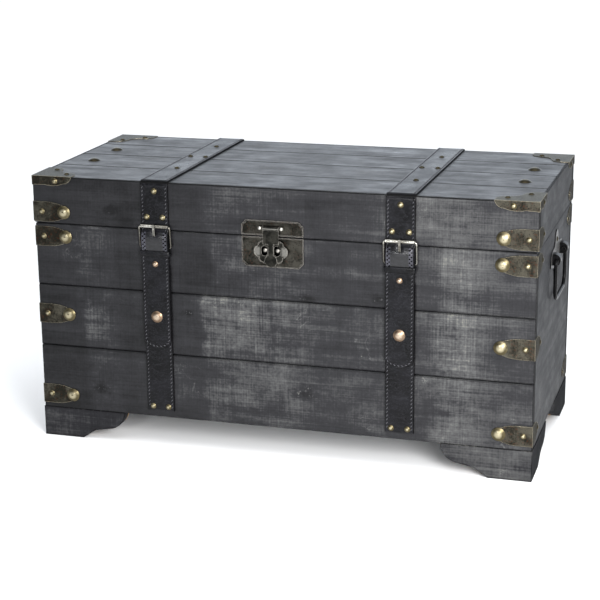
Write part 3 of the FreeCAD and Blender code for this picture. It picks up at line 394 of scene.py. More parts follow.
def domed_metal(name, crown, body, rim, pale=None):
    """Antiqued nail or snap: bright on its crown, partly rubbed metal and partly painted highlight, and
    black in the corner under its rim.

    Heads inside the box `pale` are nickel, with a painted highlight on the crown and painted shade
    at the rim.
    """
    s = Shader(name)
    fleck = s.noise((300.0, 300.0, 300.0), (0.2, 0, 0), 3.0, 0.6)
    cloud = s.noise((70.0, 70.0, 70.0), (0, 0.6, 0), 3.0, 0.5)
    # The bright crown is partly rubbed metal and partly a painted highlight.
    worn = s.math("ADD", s.crown(0.89, 1.0), s.total(0.0, ((cloud, 0.8), (fleck, 0.5))), True)
    tarnished = s.blend(s.crown(0.34, 0.60), rim, body)
    # Painted shade: heads that face up or along X are painted darker, towards the rim colour; the pits are
    # real.
    parts = s.facings()
    aside = s.ramp(s.math("MAXIMUM", parts[2], s.math("ABSOLUTE", parts[0])), 0.60, 0.85)
    colour = s.blend(s.math("MULTIPLY", worn, 0.85), tarnished, crown)
    pits = s.math("MULTIPLY", s.ramp(fleck, 0.60, 0.68), 0.6)
    colour = s.blend(s.math("MAXIMUM", pits, s.math("MULTIPLY", aside, 0.7)), colour, rim)
    # Painted highlight on the nickel crowns, painted shade at their rims.
    if pale:
        nickel = s.blend(s.crown(0.80, 0.99), srgb(20, 20, 20), srgb(156, 152, 145))
        colour = s.blend(s.within(pale), colour, nickel)
    colour = s.blend(s.math("MULTIPLY", s.hollows(0.0025, 0.3, 0.8), 0.9), colour, srgb(14, 11, 7))
    s.set(Base_Color=colour, Metallic=0.95, Roughness=s.ramp(fleck, 0.3, 0.7, 0.30, 0.42))
    s.set(Normal=s.bump(fleck, 0.0001, 0.4))
    return s.material


EAR_DOWN = 39.0 * MM        # from the top of the hasp to the middle of its ears
EAR_FROM = 14.5 * MM        # where an ear begins, sideways from the hasp's middle
EAR_FULL = 20.0 * MM
BARREL_DOWN = 3.3 * MM      # from the top of the hasp to the middle of its barrel


def hasp_metal(name):
    """The hasp: dark neck, spine and chin, with ears and barrel painted pale as highlights."""
    s = Shader(name)
    low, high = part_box("hasp")
    cloud = s.noise((90.0, 90.0, 90.0), (0.3, 0.1, 0.7), 4.0, 0.6)
    fleck = s.noise((420.0, 420.0, 420.0), (0, 0, 0), 3.0, 0.6)
    x, _, z = s.axes()
    # Painted highlight: the ears and a thin band along the barrel are painted pale.
    beside = s.math("ABSOLUTE", s.math("SUBTRACT", x, (low.x + high.x) / 2))
    ears = s.ramp(beside, EAR_FROM, EAR_FULL)
    lobe = s.math("ABSOLUTE", s.math("SUBTRACT", z, high.z - EAR_DOWN))
    ears = s.math("MULTIPLY", ears, s.ramp(s.total(lobe, ((cloud, 0.005),)), 0.0045, 0.0085, 0.7, 0.0))
    barrel = s.math("ABSOLUTE", s.math("SUBTRACT", z, high.z - BARREL_DOWN))
    pale = s.math("MAXIMUM", ears, s.ramp(barrel, 0.0003, 0.0011, 0.8, 0.0))
    colour = s.blend(s.ramp(cloud, 0.35, 0.65), srgb(30, 30, 28), srgb(54, 53, 49))
    colour = s.blend(pale, colour, srgb(132, 130, 124))
    colour = s.blend(s.math("MULTIPLY", s.hollows(0.0025, 0.40, 0.90), 0.9), colour, srgb(12, 11, 10))
    # Bright rims: partly worn metal, partly painted highlight along the edges.
    colour = s.blend(s.math("MULTIPLY", s.edges(0.0006, 0.02, 0.10), 0.8), colour, srgb(206, 200, 190))
    s.set(Base_Color=colour, Metallic=0.9, Roughness=s.ramp(fleck, 0.3, 0.7, 0.26, 0.40))
    s.set(Normal=s.bump(fleck, 0.00012, 0.5), Specular_IOR_Level=0.2)
    return s.material


def black_iron(name):
    """Japanned black iron, worn to grey metal on its edges, with a painted reflection on its flat plates.
    """
    s = Shader(name)
    fleck = s.noise((300.0, 300.0, 300.0), (0, 0, 0), 4.0, 0.6)
    cloud = s.noise((60.0, 60.0, 60.0), (0.5, 0, 0), 3.0, 0.5)
    worn = s.math("MULTIPLY", s.edges(0.0009), s.ramp(cloud, 0.4, 0.65), True)
    colour = s.blend(s.ramp(fleck, 0.35, 0.7), srgb(7, 7, 8), srgb(18, 18, 19))
    worn = s.math("MULTIPLY", worn, 0.3)
    colour = s.blend(worn, colour, srgb(110, 107, 102))
    # Painted reflection: faces looking along X, the handle's flat plates, are painted pale grey.
    flat = s.end_face(0.93, 0.99)
    colour = s.blend(s.math("MULTIPLY", flat, 0.8), colour, srgb(88, 87, 86))
    level = s.ramp(fleck, 0.3, 0.7, 0.26, 0.44)
    s.set(Base_Color=colour, Metallic=s.ramp(worn, 0.2, 0.8, 0.1, 0.9), Roughness=level)
    s.set(Normal=s.bump(fleck, 0.00015, 0.5), Specular_IOR_Level=0.12)
    return s.material


# ---- leather ---------------------------------------------------------------------------------
def leather(name, specular=0.16, pale=1.0, rough=0.26):
    """Black bonded leather: pebbled grain, faint creases, scuffed edges, painted shade in its hollows.
    `pale` multiplies its tones.
    """
    s = Shader(name)
    pebble = s.cells((780.0, 780.0, 780.0))
    fine = s.noise((1500.0, 1500.0, 1500.0), (0, 0, 0), 2.0, 0.5)
    crease = s.noise((60.0, 130.0, 130.0), (0.2, 0.4, 0.1), 5.0, 0.65, 1.4)
    cloud = s.noise((22.0, 22.0, 22.0), (0.9, 0.1, 0.3), 3.0, 0.5)
    colour = s.blend(s.ramp(cloud, 0.35, 0.7), srgb(10 * pale, 10 * pale, 12 * pale),
                     srgb(22 * pale, 22 * pale, 25 * pale))
    line = s.ramp(crease, 0.47, 0.50, 0.0, 1.0)
    line = s.math("MULTIPLY", line, s.ramp(crease, 0.50, 0.53, 1.0, 0.0))
    colour = s.blend(s.math("MULTIPLY", line, 0.14), colour, srgb(74, 74, 80))
    rubbed = s.math("MULTIPLY", s.edges(0.0012), s.ramp(cloud, 0.42, 0.62), True)
    colour = s.blend(s.math("MULTIPLY", rubbed, 0.5), colour, srgb(88, 87, 90))
    # Painted shade: near black in the creases and the gaps between pieces.
    colour = s.blend(s.hollows(0.004), colour, srgb(4, 4, 5))
    level = s.ramp(cloud, 0.3, 0.7, rough, rough + 0.12)
    level = s.math("ADD", level, s.math("MULTIPLY", line, 0.12), True)
    grain = s.bump(pebble, 0.00018, 0.5, s.bump(fine, 0.00008, 0.4))
    s.set(Base_Color=colour, Roughness=level, Normal=s.bump(crease, 0.0005, 0.15, grain))
    s.set(Specular_IOR_Level=specular)
    return s.material


def thread(name):
    """Waxed black thread that has gone grey."""
    s = Shader(name)
    twist = s.noise((900.0, 900.0, 2600.0), (0, 0, 0), 2.0, 0.5)
    colour = s.blend(s.ramp(twist, 0.35, 0.65), srgb(32, 32, 36), srgb(78, 78, 82))
    s.set(Base_Color=colour, Roughness=s.ramp(twist, 0.3, 0.7, 0.45, 0.65))
    s.set(Normal=s.bump(twist, 0.0002, 0.6))
    return s.material


def cut_edge(name, specular=0.08):
    """Dyed cut edge of a strap."""
    s = Shader(name)
    fibre = s.noise((900.0, 900.0, 900.0), (0, 0, 0), 3.0, 0.6)
    s.set(Base_Color=s.blend(s.ramp(fibre, 0.3, 0.7), srgb(6, 6, 7), srgb(17, 17, 19)))
    s.set(Roughness=s.ramp(fibre, 0.3, 0.7, 0.6, 0.8), Normal=s.bump(fibre, 0.0002, 0.5))
    s.set(Specular_IOR_Level=specular)
    return s.material


# ---- mesh helpers ----------------------------------------------------------------------------
ARRIS_ANGLE = 28            # degrees; an edge that turns further is rounded
BOARD_ROUND = 0.7 * MM
PLATE_ROUND = 0.35 * MM
LATCH_ROUND = 0.3 * MM


def new_piece(name, verts, faces, materials, face_slots=None):
    """A smooth-shaded mesh object in the scene."""
    mesh = bpy.data.meshes.new(name)
    mesh.from_pydata([tuple(v) for v in verts], [], faces)
    for material in materials:
        mesh.materials.append(material)
    if face_slots is not None:
        mesh.polygons.foreach_set("material_index", face_slots)
    mesh.polygons.foreach_set("use_smooth", [True] * len(mesh.polygons))
    mesh.update()
    piece = bpy.data.objects.new(name, mesh)
    bpy.context.scene.collection.objects.link(piece)
    return piece


def soften_cad(names, width):
    """Rounds the arrises of CAD pieces with modifiers, leaving their meshes alone."""
    for name in names:
        piece = NODES[name]
        weld = piece.modifiers.new("weld", "WELD")
        weld.merge_threshold = 1e-6
        bevel = piece.modifiers.new("bevel", "BEVEL")
        bevel.width = width
        bevel.segments = 2
        bevel.limit_method = "ANGLE"
        bevel.angle_limit = math.radians(ARRIS_ANGLE)
        bevel.use_clamp_overlap = True
        normals = piece.modifiers.new("normals", "WEIGHTED_NORMAL")
        normals.keep_sharp = True


# ---- straps ----------------------------------------------------------------------------------
EDGE_R = 1.3 * MM           # rounding of a strap's edges
EDGE_T = 0.55               # share of the thickness left at the very edge
ROWS = 2.5 * MM             # length of one row of faces
SMOOTHING = 8               # passes that round the path's corners
# The mesh's columns, in millimetres from each edge of the strap: close together by the stitches.
COLUMN_INSETS = (0, 0.25, 0.6, 1.1, 1.8, 2.5, 3.0, 3.5, 4.1, 5.2, 6.0, 6.6, 7.2, 8.4, 11, 14.5, 18.5)
STITCH_INSET = 3.4 * MM
STITCH = (6.0 * MM, 3.9 * MM, 0.55 * MM, math.radians(35))      # pitch, length, radius and lean
STITCH_PULL = (0.28 * MM, 0.75 * MM)    # depth and half width of the groove under a row
THREAD_AROUND = 6
THREAD_ALONG = 5
LACE = (6.0 * MM, 3.2 * MM, 0.95 * MM, math.radians(60))        # the same for a slit, drawn as a black pill of painted shadow
LACE_INSETS = (3.9 * MM, 6.9 * MM)
RIVET_PULL = (0.55 * MM, 7.0 * MM)      # depth and reach of the dimple round a rivet
NOTCH_T = 0.4 * MM          # leather left under the buckle's prong
NOTCH_SOFT = 1.6 * MM
WAVE = 0.16 * MM            # unevenness of the surface
SKIN, THREAD, CUT, GLAZED, BAND, SLIT = 0, 1, 2, 3, 4, 5    # material slots
BAND_COLUMNS = 13           # columns at each side of a laced part that take the band's grey, a painted sheen
SHADOW_COLUMNS = 4            # the outermost of them, painted black as the shadow beside the buckle's bars
CUT_COLUMNS = 2             # columns at each side that take the cut edge's black


class Strap:
    """Flat leather along a path in the Y-Z plane, its width along X. Outside is left of the way down.

    Places on it are u, from its middle along X, and s, down the path. `tip` is the length of the
    rounded end, and `rivets` lists (u, s). `swell` is where it bulges: s, half length and height.
    `notch` is the prong's: from s, to s and half width. `laced` is the part with slits: from s, to s.
    """

    def __init__(self, x, path, tip=0.0, rivets=(), swell=None, notch=None, laced=(0.0, 0.0)):
        self.x = x
        self.half = STRAP_W / 2
        self.tip = tip
        self.rivets = rivets
        self.swell = swell
        self.notch = notch
        self.laced = laced
        points = np.array(path, float)
        steps = np.linalg.norm(np.diff(points, axis=0), axis=1)
        run = np.concatenate([[0], np.cumsum(steps)])
        count = max(8, int(run[-1] / ROWS))
        self.s = np.linspace(0, run[-1], count + 1)
        line = np.stack([np.interp(self.s, run, points[:, k]) for k in range(2)], axis=1)
        for _ in range(SMOOTHING):
            line[1:-1] = (line[:-2] + 2 * line[1:-1] + line[2:]) / 4
        self.line = line
        way = np.gradient(line, axis=0)
        way /= np.linalg.norm(way, axis=1)[:, None]
        self.out = np.stack([way[:, 1], -way[:, 0]], axis=1)
        self.length = self.s[-1]

    def end(self, u):
        """Where the strap ends at a distance u from its middle."""
        share = min(1.0, abs(u) / self.half)
        return self.length - self.tip * (1 - math.sqrt(1 - share * share))

    def height(self, u, s):
        """Thickness of the leather at a place."""
        inset = min(self.half - abs(u), s, self.end(u) - s)
        share = min(1.0, max(0.0, inset) / EDGE_R)
        up = STRAP_T * (EDGE_T + (1 - EDGE_T) * math.sqrt(1 - (1 - share) ** 2))
        pull, wide = STITCH_PULL
        up -= pull * math.exp(-((inset - STITCH_INSET) / wide) ** 2)
        pull, wide = RIVET_PULL
        for ru, rs in self.rivets:
            up -= pull * math.exp(-(math.hypot(u - ru, s - rs) / wide) ** 2)
        if self.swell:
            middle, half, rise = self.swell
            fall = math.exp(-((s - middle) / half) ** 2)
            up += rise * fall * (1 - (u / self.half) ** 2)
        if self.notch:
            low, high, wide = self.notch
            along = max(0.0, low - s, s - high)
            away = math.hypot(max(0.0, abs(u) - wide), along)
            up -= (up - NOTCH_T) * math.exp(-(away / NOTCH_SOFT) ** 2)
        up += WAVE * noise.noise(Vector((u * 70, s * 45, self.x * 9)))
        return up

    def at(self, u, s, lift):
        """Point in space, `lift` out of the inner face."""
        y, z = (np.interp(s, self.s, self.line[:, k]) for k in range(2))
        ny, nz = (np.interp(s, self.s, self.out[:, k]) for k in range(2))
        return Vector((self.x + u, y + ny * lift, z + nz * lift))

    def skin(self):
        """Outer and inner faces and the cut edges between them."""
        insets = [i * MM for i in COLUMN_INSETS]
        columns = [i - self.half for i in insets] + [0.0] + [self.half - i for i in reversed(insets)]
        start = self.length - 3 * self.tip
        verts = []
        for face in (1, 0):
            for s in self.s:
                for u in columns:
                    here = s
                    if self.tip and s > start:
                        here = start + (s - start) * (self.end(u) - start) / (self.length - start)
                    verts.append(self.at(u, here, self.height(u, here) if face else 0.0))
        rows, wide = len(self.s), len(columns)
        under = rows * wide
        faces, slots = [], []
        for r in range(rows - 1):
            for c in range(wide - 1):
                a = r * wide + c
                faces.append((a, a + wide, a + wide + 1, a + 1))
                aside = min(c, wide - 2 - c)
                laced = self.laced[0] < self.s[r] < self.laced[1]
                skin = (BAND if aside < BAND_COLUMNS else GLAZED) if laced else SKIN
                # On the laced part the outer columns are painted black, as shadow beside the buckle's bars.
                slots.append(CUT if aside < (SHADOW_COLUMNS if laced else CUT_COLUMNS) else skin)
                b = a + under
                faces.append((b, b + 1, b + wide + 1, b + wide))
                slots.append(SKIN)
            left, right = r * wide, r * wide + wide - 1
            faces.append((left, left + under, left + wide + under, left + wide))
            faces.append((right, right + wide, right + wide + under, right + under))
            slots += [CUT, CUT]
        last = (rows - 1) * wide
        for c in range(wide - 1):
            faces.append((c, c + 1, c + 1 + under, c + under))
            faces.append((last + c, last + c + under, last + c + 1 + under, last + c + 1))
            slots += [CUT, CUT]
        return verts, faces, slots

    def border(self, inset):
        """Points (u, s) that a stitched row passes, down one side, round a tip and up the other."""
        edge = self.half - inset
        bottom = self.length - (self.tip if self.tip else inset)
        down = [(-edge, s) for s in np.arange(inset, bottom, 0.5 * MM)]
        turn = []
        if self.tip:
            deep = self.tip - inset
            turn = [(-edge * math.cos(a), bottom + deep * math.sin(a)) for a in np.linspace(0, math.pi, 80)]
        up = [(edge, s) for s in np.arange(bottom, inset, -0.5 * MM)]
        return [down + turn + up] if turn else [down, up]

    def stitches(self, inset, sizes, laced):
        """One row along the border, on the laced part or on the rest of the strap."""
        pitch, length, radius, lean = sizes
        verts, faces = [], []
        for line in self.border(inset):
            points = np.array(line)
            steps = np.linalg.norm(np.diff(points, axis=0), axis=1)
            run = np.concatenate([[0], np.cumsum(steps)])
            for spot in np.arange(pitch / 2, run[-1], pitch):
                u, s = (np.interp(spot, run, points[:, k]) for k in range(2))
                if (self.laced[0] < s < self.laced[1]) != laced:
                    continue
                du, ds = (np.interp(spot + 0.3 * MM, run, points[:, k]) - v for k, v in enumerate((u, s)))
                turn = math.atan2(ds, du) + lean
                self.one_stitch(u, s, turn, length, radius, verts, faces)
        return verts, faces

    def one_stitch(self, u, s, turn, length, radius, verts, faces):
        """A short fat thread, its ends sunk into the leather."""
        base = len(verts)
        around, along = THREAD_AROUND, THREAD_ALONG
        for i in range(along):
            t = i / (along - 1) * 2 - 1
            thick = radius * (0.35 + 0.65 * math.sqrt(max(0.0, 1 - t * t)))
            pu = u + math.cos(turn) * t * length / 2
            ps = s + math.sin(turn) * t * length / 2
            lift = self.height(pu, ps) + radius * (0.75 - 1.35 * t * t)
            for k in range(around):
                angle = 2 * math.pi * k / around
                side = thick * math.cos(angle)
                verts.append(self.at(pu - math.sin(turn) * side, ps + math.cos(turn) * side,
                                     lift + thick * math.sin(angle)))
        for i in range(along - 1):
            for k in range(around):
                a = base + i * around + k
                b = base + i * around + (k + 1) % around
                faces.append((a, b, b + around, a + around))
        faces.append(tuple(base + k for k in reversed(range(around))))
        faces.append(tuple(base + (along - 1) * around + k for k in range(around)))

    def build(self, name, materials):
        """The strap's piece: its skin, its stitches and its slits."""
        verts, faces, slots = self.skin()
        rows = [(STITCH_INSET, STITCH, False)]
        if self.laced[1]:
            rows += [(inset, LACE, True) for inset in LACE_INSETS]
        for inset, sizes, laced in rows:
            more, quads = self.stitches(inset, sizes, laced)
            base = len(verts)
            verts += more
            faces += [tuple(base + i for i in quad) for quad in quads]
            slots += [SLIT if laced else THREAD] * len(quads)
        piece = new_piece(name, verts, faces, materials, slots)
        sharpen(piece, 60)
        return piece


def sharpen(piece, degrees):
    """Keeps the cut edges crisp under smooth shading."""
    shape = bmesh.new()
    shape.from_mesh(piece.data)
    bmesh.ops.recalc_face_normals(shape, faces=shape.faces)
    for edge in shape.edges:
        if len(edge.link_faces) == 2 and edge.calc_face_angle(0) > math.radians(degrees):
            edge.smooth = False
    shape.to_mesh(piece.data)
    shape.free()


# Inner face of the leather that passes the buckle, from the seam down: (Y, Z) in millimetres from
# the lid's front face and the seam.
BUCKLE_PATH = ((0.0, -0.6), (-1.4, -2.5), (-4.3, -6.5), (-5.4, -11.0), (-5.6, -19.0), (-4.9, -28.0),
               (-3.6, -36.0), (-3.4, -41.0))
KEEPER_DOWN = 37.5 * MM     # keeper's middle below the seam
KEEPER_T = 1.9 * MM
KEEPER_H = 8.4 * MM
KEEPER_CORNER = 2.4 * MM
KEEPER_SAG = 0.5 * MM       # how far its ends stand above its middle
CORNER_STEPS = 4
PROFILE_STEPS = 10
RIVET_OFF = 13.0 * MM       # rivets in pairs, from the strap's middle
BOTH = (-RIVET_OFF, RIVET_OFF)
LID_RIVET_DOWN = 12.0 * MM  # lid strap's single rivet, from its top
LID_PAIR_UP = 20.0 * MM     # its pair, from the seam
LOW_PAIR_UP = 7.0 * MM      # the case strap's pair, from its lower end
SNAP_R = 9.3 * MM
RIVET_R = 4.8 * MM
TAIL_TIP = 14.0 * MM        # length of the tail's rounded end
TOP_BAND_RIVETS = ((0.0, -86), (-12.5, 13), (12.5, 13), (0.0, 105))     # u and Y, in millimetres


def strap_x(side):
    low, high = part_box("under_strap_" + side)
    return (low.x + high.x) / 2


def lid_leather(side, materials):
    """Nailed to the lid front, then over the seam and through the buckle as far as the keeper."""
    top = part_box("lid_strap_" + side)[1].z
    path = [(LID_FRONT_Y, top)]
    path += [(LID_FRONT_Y + y * MM, SEAM_Z + z * MM) for y, z in BUCKLE_PATH]
    seam = top - SEAM_Z
    rivets = [(0.0, LID_RIVET_DOWN)] + [(u, seam - LID_PAIR_UP) for u in BOTH]
    swell = (seam + 13 * MM, 9 * MM, 1.7 * MM)
    notch = (seam + 4 * MM, seam + 9 * MM, 1.2 * MM)
    laced = (seam + 3 * MM, seam + 33 * MM)
    strap = Strap(strap_x(side), path, rivets=rivets, swell=swell, notch=notch, laced=laced)
    piece = strap.build("lid_strap_leather_" + side, materials)
    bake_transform(piece)
    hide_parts("lid_strap_" + side, "buckle_strap_" + side)


def tail_leather(side, materials):
    """Below the keeper to the rounded tip."""
    low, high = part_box("strap_tail_" + side)
    face = high.y
    top = SEAM_Z - KEEPER_DOWN
    cap_low, cap_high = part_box("snap_cap_" + side)
    path = [(face, top), (face, low.z)]
    heads = (cap_low.z + SNAP_R, cap_high.z - RIVET_R)
    strap = Strap(strap_x(side), path, tip=TAIL_TIP, rivets=[(0.0, top - z) for z in heads])
    piece = strap.build("strap_tail_leather_" + side, materials)
    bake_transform(piece)
    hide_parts("strap_tail_" + side)


def under_leather(side, materials):
    """Nailed to the case, behind the tail and below it."""
    low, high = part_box("under_strap_" + side)
    path = [(CASE_FRONT_Y, high.z), (CASE_FRONT_Y, low.z)]
    rivets = [(u, high.z - low.z - LOW_PAIR_UP) for u in BOTH]
    strap = Strap(strap_x(side), path, rivets=rivets)
    piece = strap.build("under_strap_leather_" + side, materials)
    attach(piece, "case")
    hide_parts("under_strap_" + side)


def top_leather(side, materials):
    """Band across the lid's top."""
    low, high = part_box("top_strap_" + side)
    middle = (LID_FRONT_Y + LID_BACK_Y) / 2
    path = [(high.y, low.z), (low.y, low.z)]
    rivets = [(u * MM, high.y - middle - y * MM) for u, y in TOP_BAND_RIVETS]
    strap = Strap(strap_x(side), path, rivets=rivets)
    piece = strap.build("top_strap_leather_" + side, materials)
    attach(piece, "lid")
    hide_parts("top_strap_" + side)


def keeper(side, materials):
    """Leather loop that holds the tail: a rounded band with soft edges."""
    x = strap_x(side)
    low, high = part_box("buckle_strap_" + side)
    half_x = (high.x - low.x - KEEPER_T) / 2
    front = low.y + KEEPER_T / 2
    back = LID_FRONT_Y - KEEPER_T
    centre_y = (front + back) / 2
    half_y = (back - front) / 2
    wide = KEEPER_H / 2
    ring = []
    for cx, cy, first in ((1, 1, 0), (-1, 1, 90), (-1, -1, 180), (1, -1, 270)):
        for step in range(CORNER_STEPS + 1):
            angle = math.radians(first + step * 90 / CORNER_STEPS)
            ring.append(((half_x - KEEPER_CORNER) * cx + KEEPER_CORNER * math.cos(angle),
                         (half_y - KEEPER_CORNER) * cy + KEEPER_CORNER * math.sin(angle),
                         math.cos(angle), math.sin(angle)))
    profile = []
    for step in range(PROFILE_STEPS):
        angle = 2 * math.pi * step / PROFILE_STEPS
        profile.append((KEEPER_T / 2 * abs(math.cos(angle)) ** 0.6 * math.copysign(1, math.cos(angle)),
                        wide * abs(math.sin(angle)) ** 0.5 * math.copysign(1, math.sin(angle))))
    verts, faces = [], []
    z = SEAM_Z - KEEPER_DOWN
    for px, py, nx, ny in ring:
        for out, up in profile:
            sag = KEEPER_SAG * (px / half_x) ** 2
            verts.append((x + px + nx * out, centre_y + py + ny * out, z + up + sag))
    n = len(profile)
    for i in range(len(ring)):
        j = (i + 1) % len(ring)
        for k in range(n):
            m = (k + 1) % n
            faces.append((i * n + k, j * n + k, j * n + m, i * n + m))
    piece = new_piece("strap_keeper_" + side, verts, faces, materials)
    sharpen(piece, 70)
    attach(piece, "buckle_" + side)


# ---- assemble --------------------------------------------------------------------------------
# Knots in the front boards: X, Z and size, in metres.
KNOTS = {"front_board_bottom": ((0.045, 0.108, 0.020), (-0.300, 0.085, 0.012)),
         "front_board_top": ((0.050, 0.262, 0.015), (0.160, 0.270, 0.010)),
         "front_board_middle": ((-0.145, 0.225, 0.010),), "lid_front_rail": ((-0.270, 0.385, 0.012),)}
# How far the rubbed bands show on each front board. These boards also get the painted light that darkens
# them towards the left.
RUBBED = {"front_board_bottom": 0.62, "front_board_middle": 0.85, "front_board_top": 0.60,
          "lid_front_rail": 0.26}
ENDS = ["side_panel_left", "side_panel_right", "lid_end_left", "lid_end_right"]


def wood():
    case_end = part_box("front_board_top")[1].x
    rows = ["front_board_bottom", "front_board_middle", "front_board_top", "lid_front_rail",
            "back_board_bottom", "back_board_middle", "back_board_top", "lid_back_rail",
            "lid_plank_1", "lid_plank_2", "lid_plank_3", "lid_plank_4"]
    for index, name in enumerate(rows):
        end = LID_END_X if name.startswith("lid") else case_end
        shift = (3.1 * index, 1.3 * index, 0.7 * index)
        shine = 0.30 if name.startswith("lid_plank") else 0.19
        paint([name], painted_wood("paint_" + name, "x", shift, RUBBED.get(name, 0.0), KNOTS.get(name, ()),
                                   end, shine=shine))
    for index, name in enumerate(ENDS):
        shift = (0.2, 1.7 + 2.9 * index, 0.6)
        paint([name], painted_wood("paint_" + name, "y", shift, matte=0.6, shine=0.14))
    feet = sorted(n for n in NODES if n.startswith("foot_"))
    feet_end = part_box("foot_front_right")[1].x
    for index, name in enumerate(feet):
        shift = (1.9 * index, 0.5, 2.0)
        # Painted light: the right-hand feet are painted paler, where the key lamp falls.
        lift = 0.17 if "right" in name else 0.05
        paint([name], painted_wood("paint_" + name, "x", shift, end_x=feet_end, end_dark=0.20, matte=0.8,
                                   shine=0.08, lift=lift))
    paint(["bottom_panel", "bottom_battens", "corner_posts", "lid_cleats"], raw_wood("bare_pine"))
    soften_cad(rows + feet + ENDS, BOARD_ROUND)


# Inset of the painted shadow behind the hasp's windows, from the hasp's low and high corners.
WINDOWS_IN = (Vector((10, 0, 16)) * MM, Vector((10, 0, 28)) * MM)
BUCKLE_BRIGHT = 6 * MM      # below the buckle's top, where the painted shade on its bars begins


def metal():
    brass = domed_metal("antique_brass_nails", srgb(174, 165, 138), srgb(84, 77, 58), srgb(25, 22, 17),
                        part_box("hasp"))
    plate = antique_metal("antique_plates", srgb(76, 73, 65), srgb(38, 37, 33), srgb(66, 40, 28),
                          rim=(0.9, 0.0012), rim_colour=(168, 160, 140))
    windows = [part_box("hasp")[0] + WINDOWS_IN[0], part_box("hasp")[1] - WINDOWS_IN[1]]
    bronze = antique_metal("antique_bronze_latch", srgb(66, 64, 59), srgb(34, 34, 31), srgb(62, 42, 34),
                           rough=(0.26, 0.40), rim=(0.75, 0.0005), rim_colour=(206, 200, 192),
                           behind=windows)
    nickel = antique_metal("worn_nickel", srgb(190, 188, 180), srgb(120, 116, 108), srgb(50, 46, 40),
                           rough=(0.16, 0.26), rim=(0.3, 0.001), rim_colour=(230, 228, 220),
                           shaded_below=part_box("buckle_frame_left")[1].z - BUCKLE_BRIGHT)
    copper = domed_metal("coppery_snaps", srgb(192, 174, 154), srgb(116, 97, 80), srgb(40, 31, 24))
    for kind in ("dome_nails", "rivets", "screws"):
        paint(["case_" + kind, "lid_" + kind], brass)
    paint(["case_corner_plates", "lid_corner_plates", "corner_caps"], plate)
    paint(["latch_upper_plate", "latch_lower_plate"], bronze)
    paint(["hasp"], hasp_metal("antique_bronze_hasp"))
    paint(["latch_rod"], nickel)
    paint([f"buckle_{part}_{side}" for part in ("frame", "prong") for side in SIDES], nickel)
    paint([f"snap_cap_{side}" for side in SIDES] + ["snap_sockets"], copper)
    paint(["hinge_leaves_case", "hinge_leaves_lid", "hinge_pins"], bronze)
    iron = black_iron("black_iron")
    paint(["handle_bail_left", "handle_bail_right", "handle_plates"], iron)
    soften_cad(["case_corner_plates", "lid_corner_plates", "corner_caps"], PLATE_ROUND)
    soften_cad(["latch_upper_plate", "latch_lower_plate", "hasp"], LATCH_ROUND)
    soften_cad(["handle_plates", "hinge_leaves_case", "hinge_leaves_lid"], PLATE_ROUND)


def straps():
    # In the order of the material slots.
    materials = [leather("black_leather"), thread("grey_thread"), cut_edge("cut_leather")]
    materials.append(leather("glazed_leather", specular=0.46, pale=0.8, rough=0.20))
    # Painted sheen: the lacing band is a paler copy of the black leather, standing in for its gloss.
    materials.append(leather("lacing_leather", specular=0.42, pale=2.6, rough=0.28))
    # Painted shadow: each slit is a black pill that stands for the shade inside the hole.
    materials.append(cut_edge("slit_painted_shadow", specular=0.0))
    for side in SIDES:
        lid_leather(side, materials)
        tail_leather(side, materials)
        under_leather(side, materials)
        top_leather(side, materials)
        keeper(side, [leather("keeper_leather", pale=0.8)])


# ---- studio ----------------------------------------------------------------------------------
CAMERA_AT = (0.73507, -2.50813, 0.94853)
HEADING = 16.70             # degrees left of +Y
PITCH = -15.84
ROLL = -0.53
LENS = 99.0                 # millimetres, on a film 36 mm wide
LAMPS_AIM = (0, 0, 0.2)
LAMP_SPREAD = 110           # degrees
SKY = (0.84, 0.91, 1.0, 1.0)
BACK_BAND = 1.4             # strength of the bright band behind the trunk
FLOOR_REACH = 14.0


def camera():
    """The photograph's viewpoint."""
    data = bpy.data.cameras.new("camera")
    data.lens = LENS
    data.sensor_width = 36.0
    eye = bpy.data.objects.new("camera", data)
    turn = Matrix.Rotation(math.radians(HEADING), 3, "Z")
    tilt = Matrix.Rotation(math.radians(90 + PITCH), 3, "X")
    roll = Matrix.Rotation(math.radians(ROLL), 3, "Z")
    eye.matrix_world = Matrix.Translation(CAMERA_AT) @ (turn @ tilt @ roll).to_4x4()
    bpy.context.scene.collection.objects.link(eye)
    bpy.context.scene.camera = eye


def lamp(name, at, size, power):
    """Soft box that points at the trunk."""
    data = bpy.data.lights.new(name, "AREA")
    data.shape = "RECTANGLE"
    data.size, data.size_y = size
    data.energy = power
    light = bpy.data.objects.new(name, data)
    light.location = at
    way = Vector(LAMPS_AIM) - Vector(at)
    light.rotation_euler = way.to_track_quat("-Z", "Y").to_euler()
    data.spread = math.radians(LAMP_SPREAD)
    light.visible_camera = False
    bpy.context.scene.collection.objects.link(light)


def sun(name, turn, height, strength, spread):
    """Broad soft light over the whole floor, from a compass turn and a height in degrees."""
    data = bpy.data.lights.new(name, "SUN")
    data.energy = strength
    data.angle = math.radians(spread)
    light = bpy.data.objects.new(name, data)
    heading, rise = math.radians(turn), math.radians(height)
    back = Vector((math.sin(heading) * math.cos(rise), -math.cos(heading) * math.cos(rise), math.sin(rise)))
    light.rotation_euler = back.to_track_quat("Z", "Y").to_euler()
    bpy.context.scene.collection.objects.link(light)


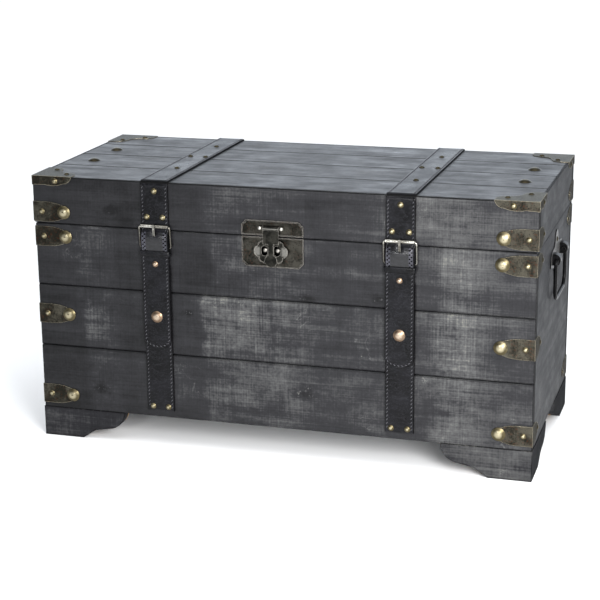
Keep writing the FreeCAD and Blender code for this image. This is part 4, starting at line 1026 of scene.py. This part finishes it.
def studio():
    """A bright sweep behind the trunk, a dimmer room round it, and soft lights above."""
    world = bpy.data.worlds.new("studio")
    world.use_nodes = True
    tree = world.node_tree
    back = tree.nodes["Background"]
    back.inputs["Color"].default_value = SKY
    way = tree.nodes.new("ShaderNodeTexCoord")
    split = tree.nodes.new("ShaderNodeSeparateXYZ")
    tree.links.new(way.outputs["Generated"], split.inputs[0])

    def ramp(axis, levels, kind):
        """Strength along one direction of the sky: (from, to) levels and what they become."""
        node = tree.nodes.new("ShaderNodeMapRange")
        node.interpolation_type = kind
        tree.links.new(split.outputs[axis], node.inputs["Value"])
        for key, value in zip(("From Min", "From Max", "To Min", "To Max"), levels):
            node.inputs[key].default_value = value
        return node.outputs[0]

    behind = ramp("Y", (-0.1, 0.7, 0.0, 1.0), "SMOOTHSTEP")
    low = ramp("Z", (0.35, 0.75, 1.0, 0.0), "SMOOTHSTEP")
    rim = ramp("Z", (0.05, 0.30, 0.62, 0.30), "LINEAR")
    both = tree.nodes.new("ShaderNodeMath")
    both.operation = "MULTIPLY"
    tree.links.new(behind, both.inputs[0])
    tree.links.new(low, both.inputs[1])
    level = tree.nodes.new("ShaderNodeMath")
    level.operation = "MULTIPLY_ADD"
    tree.links.new(both.outputs[0], level.inputs[0])
    level.inputs[1].default_value = BACK_BAND
    tree.links.new(rim, level.inputs[2])
    tree.links.new(level.outputs[0], back.inputs["Strength"])
    bpy.context.scene.world = world
    sun("overhead", turn=20, height=78, strength=2.4, spread=70)
    lamp("key", at=(1.0, -1.5, 0.80), size=(0.8, 0.8), power=21)
    lamp("front", at=(-0.15, -2.6, 0.85), size=(0.35, 0.35), power=6)

    shape = bpy.data.meshes.new("floor")
    corners = [(x * FLOOR_REACH, y * FLOOR_REACH, 0) for x, y in ((-1, -1), (1, -1), (1, 1), (-1, 1))]
    shape.from_pydata(corners, [], [(0, 1, 2, 3)])
    floor = bpy.data.objects.new("floor", shape)
    s = Shader("pale_floor")
    s.set(Base_Color=(0.9, 0.9, 0.9, 1.0), Roughness=0.8)
    shape.materials.append(s.material)
    bpy.context.scene.collection.objects.link(floor)
    bpy.context.scene.view_settings.view_transform = "Standard"


wood()
metal()
straps()
studio()
camera()
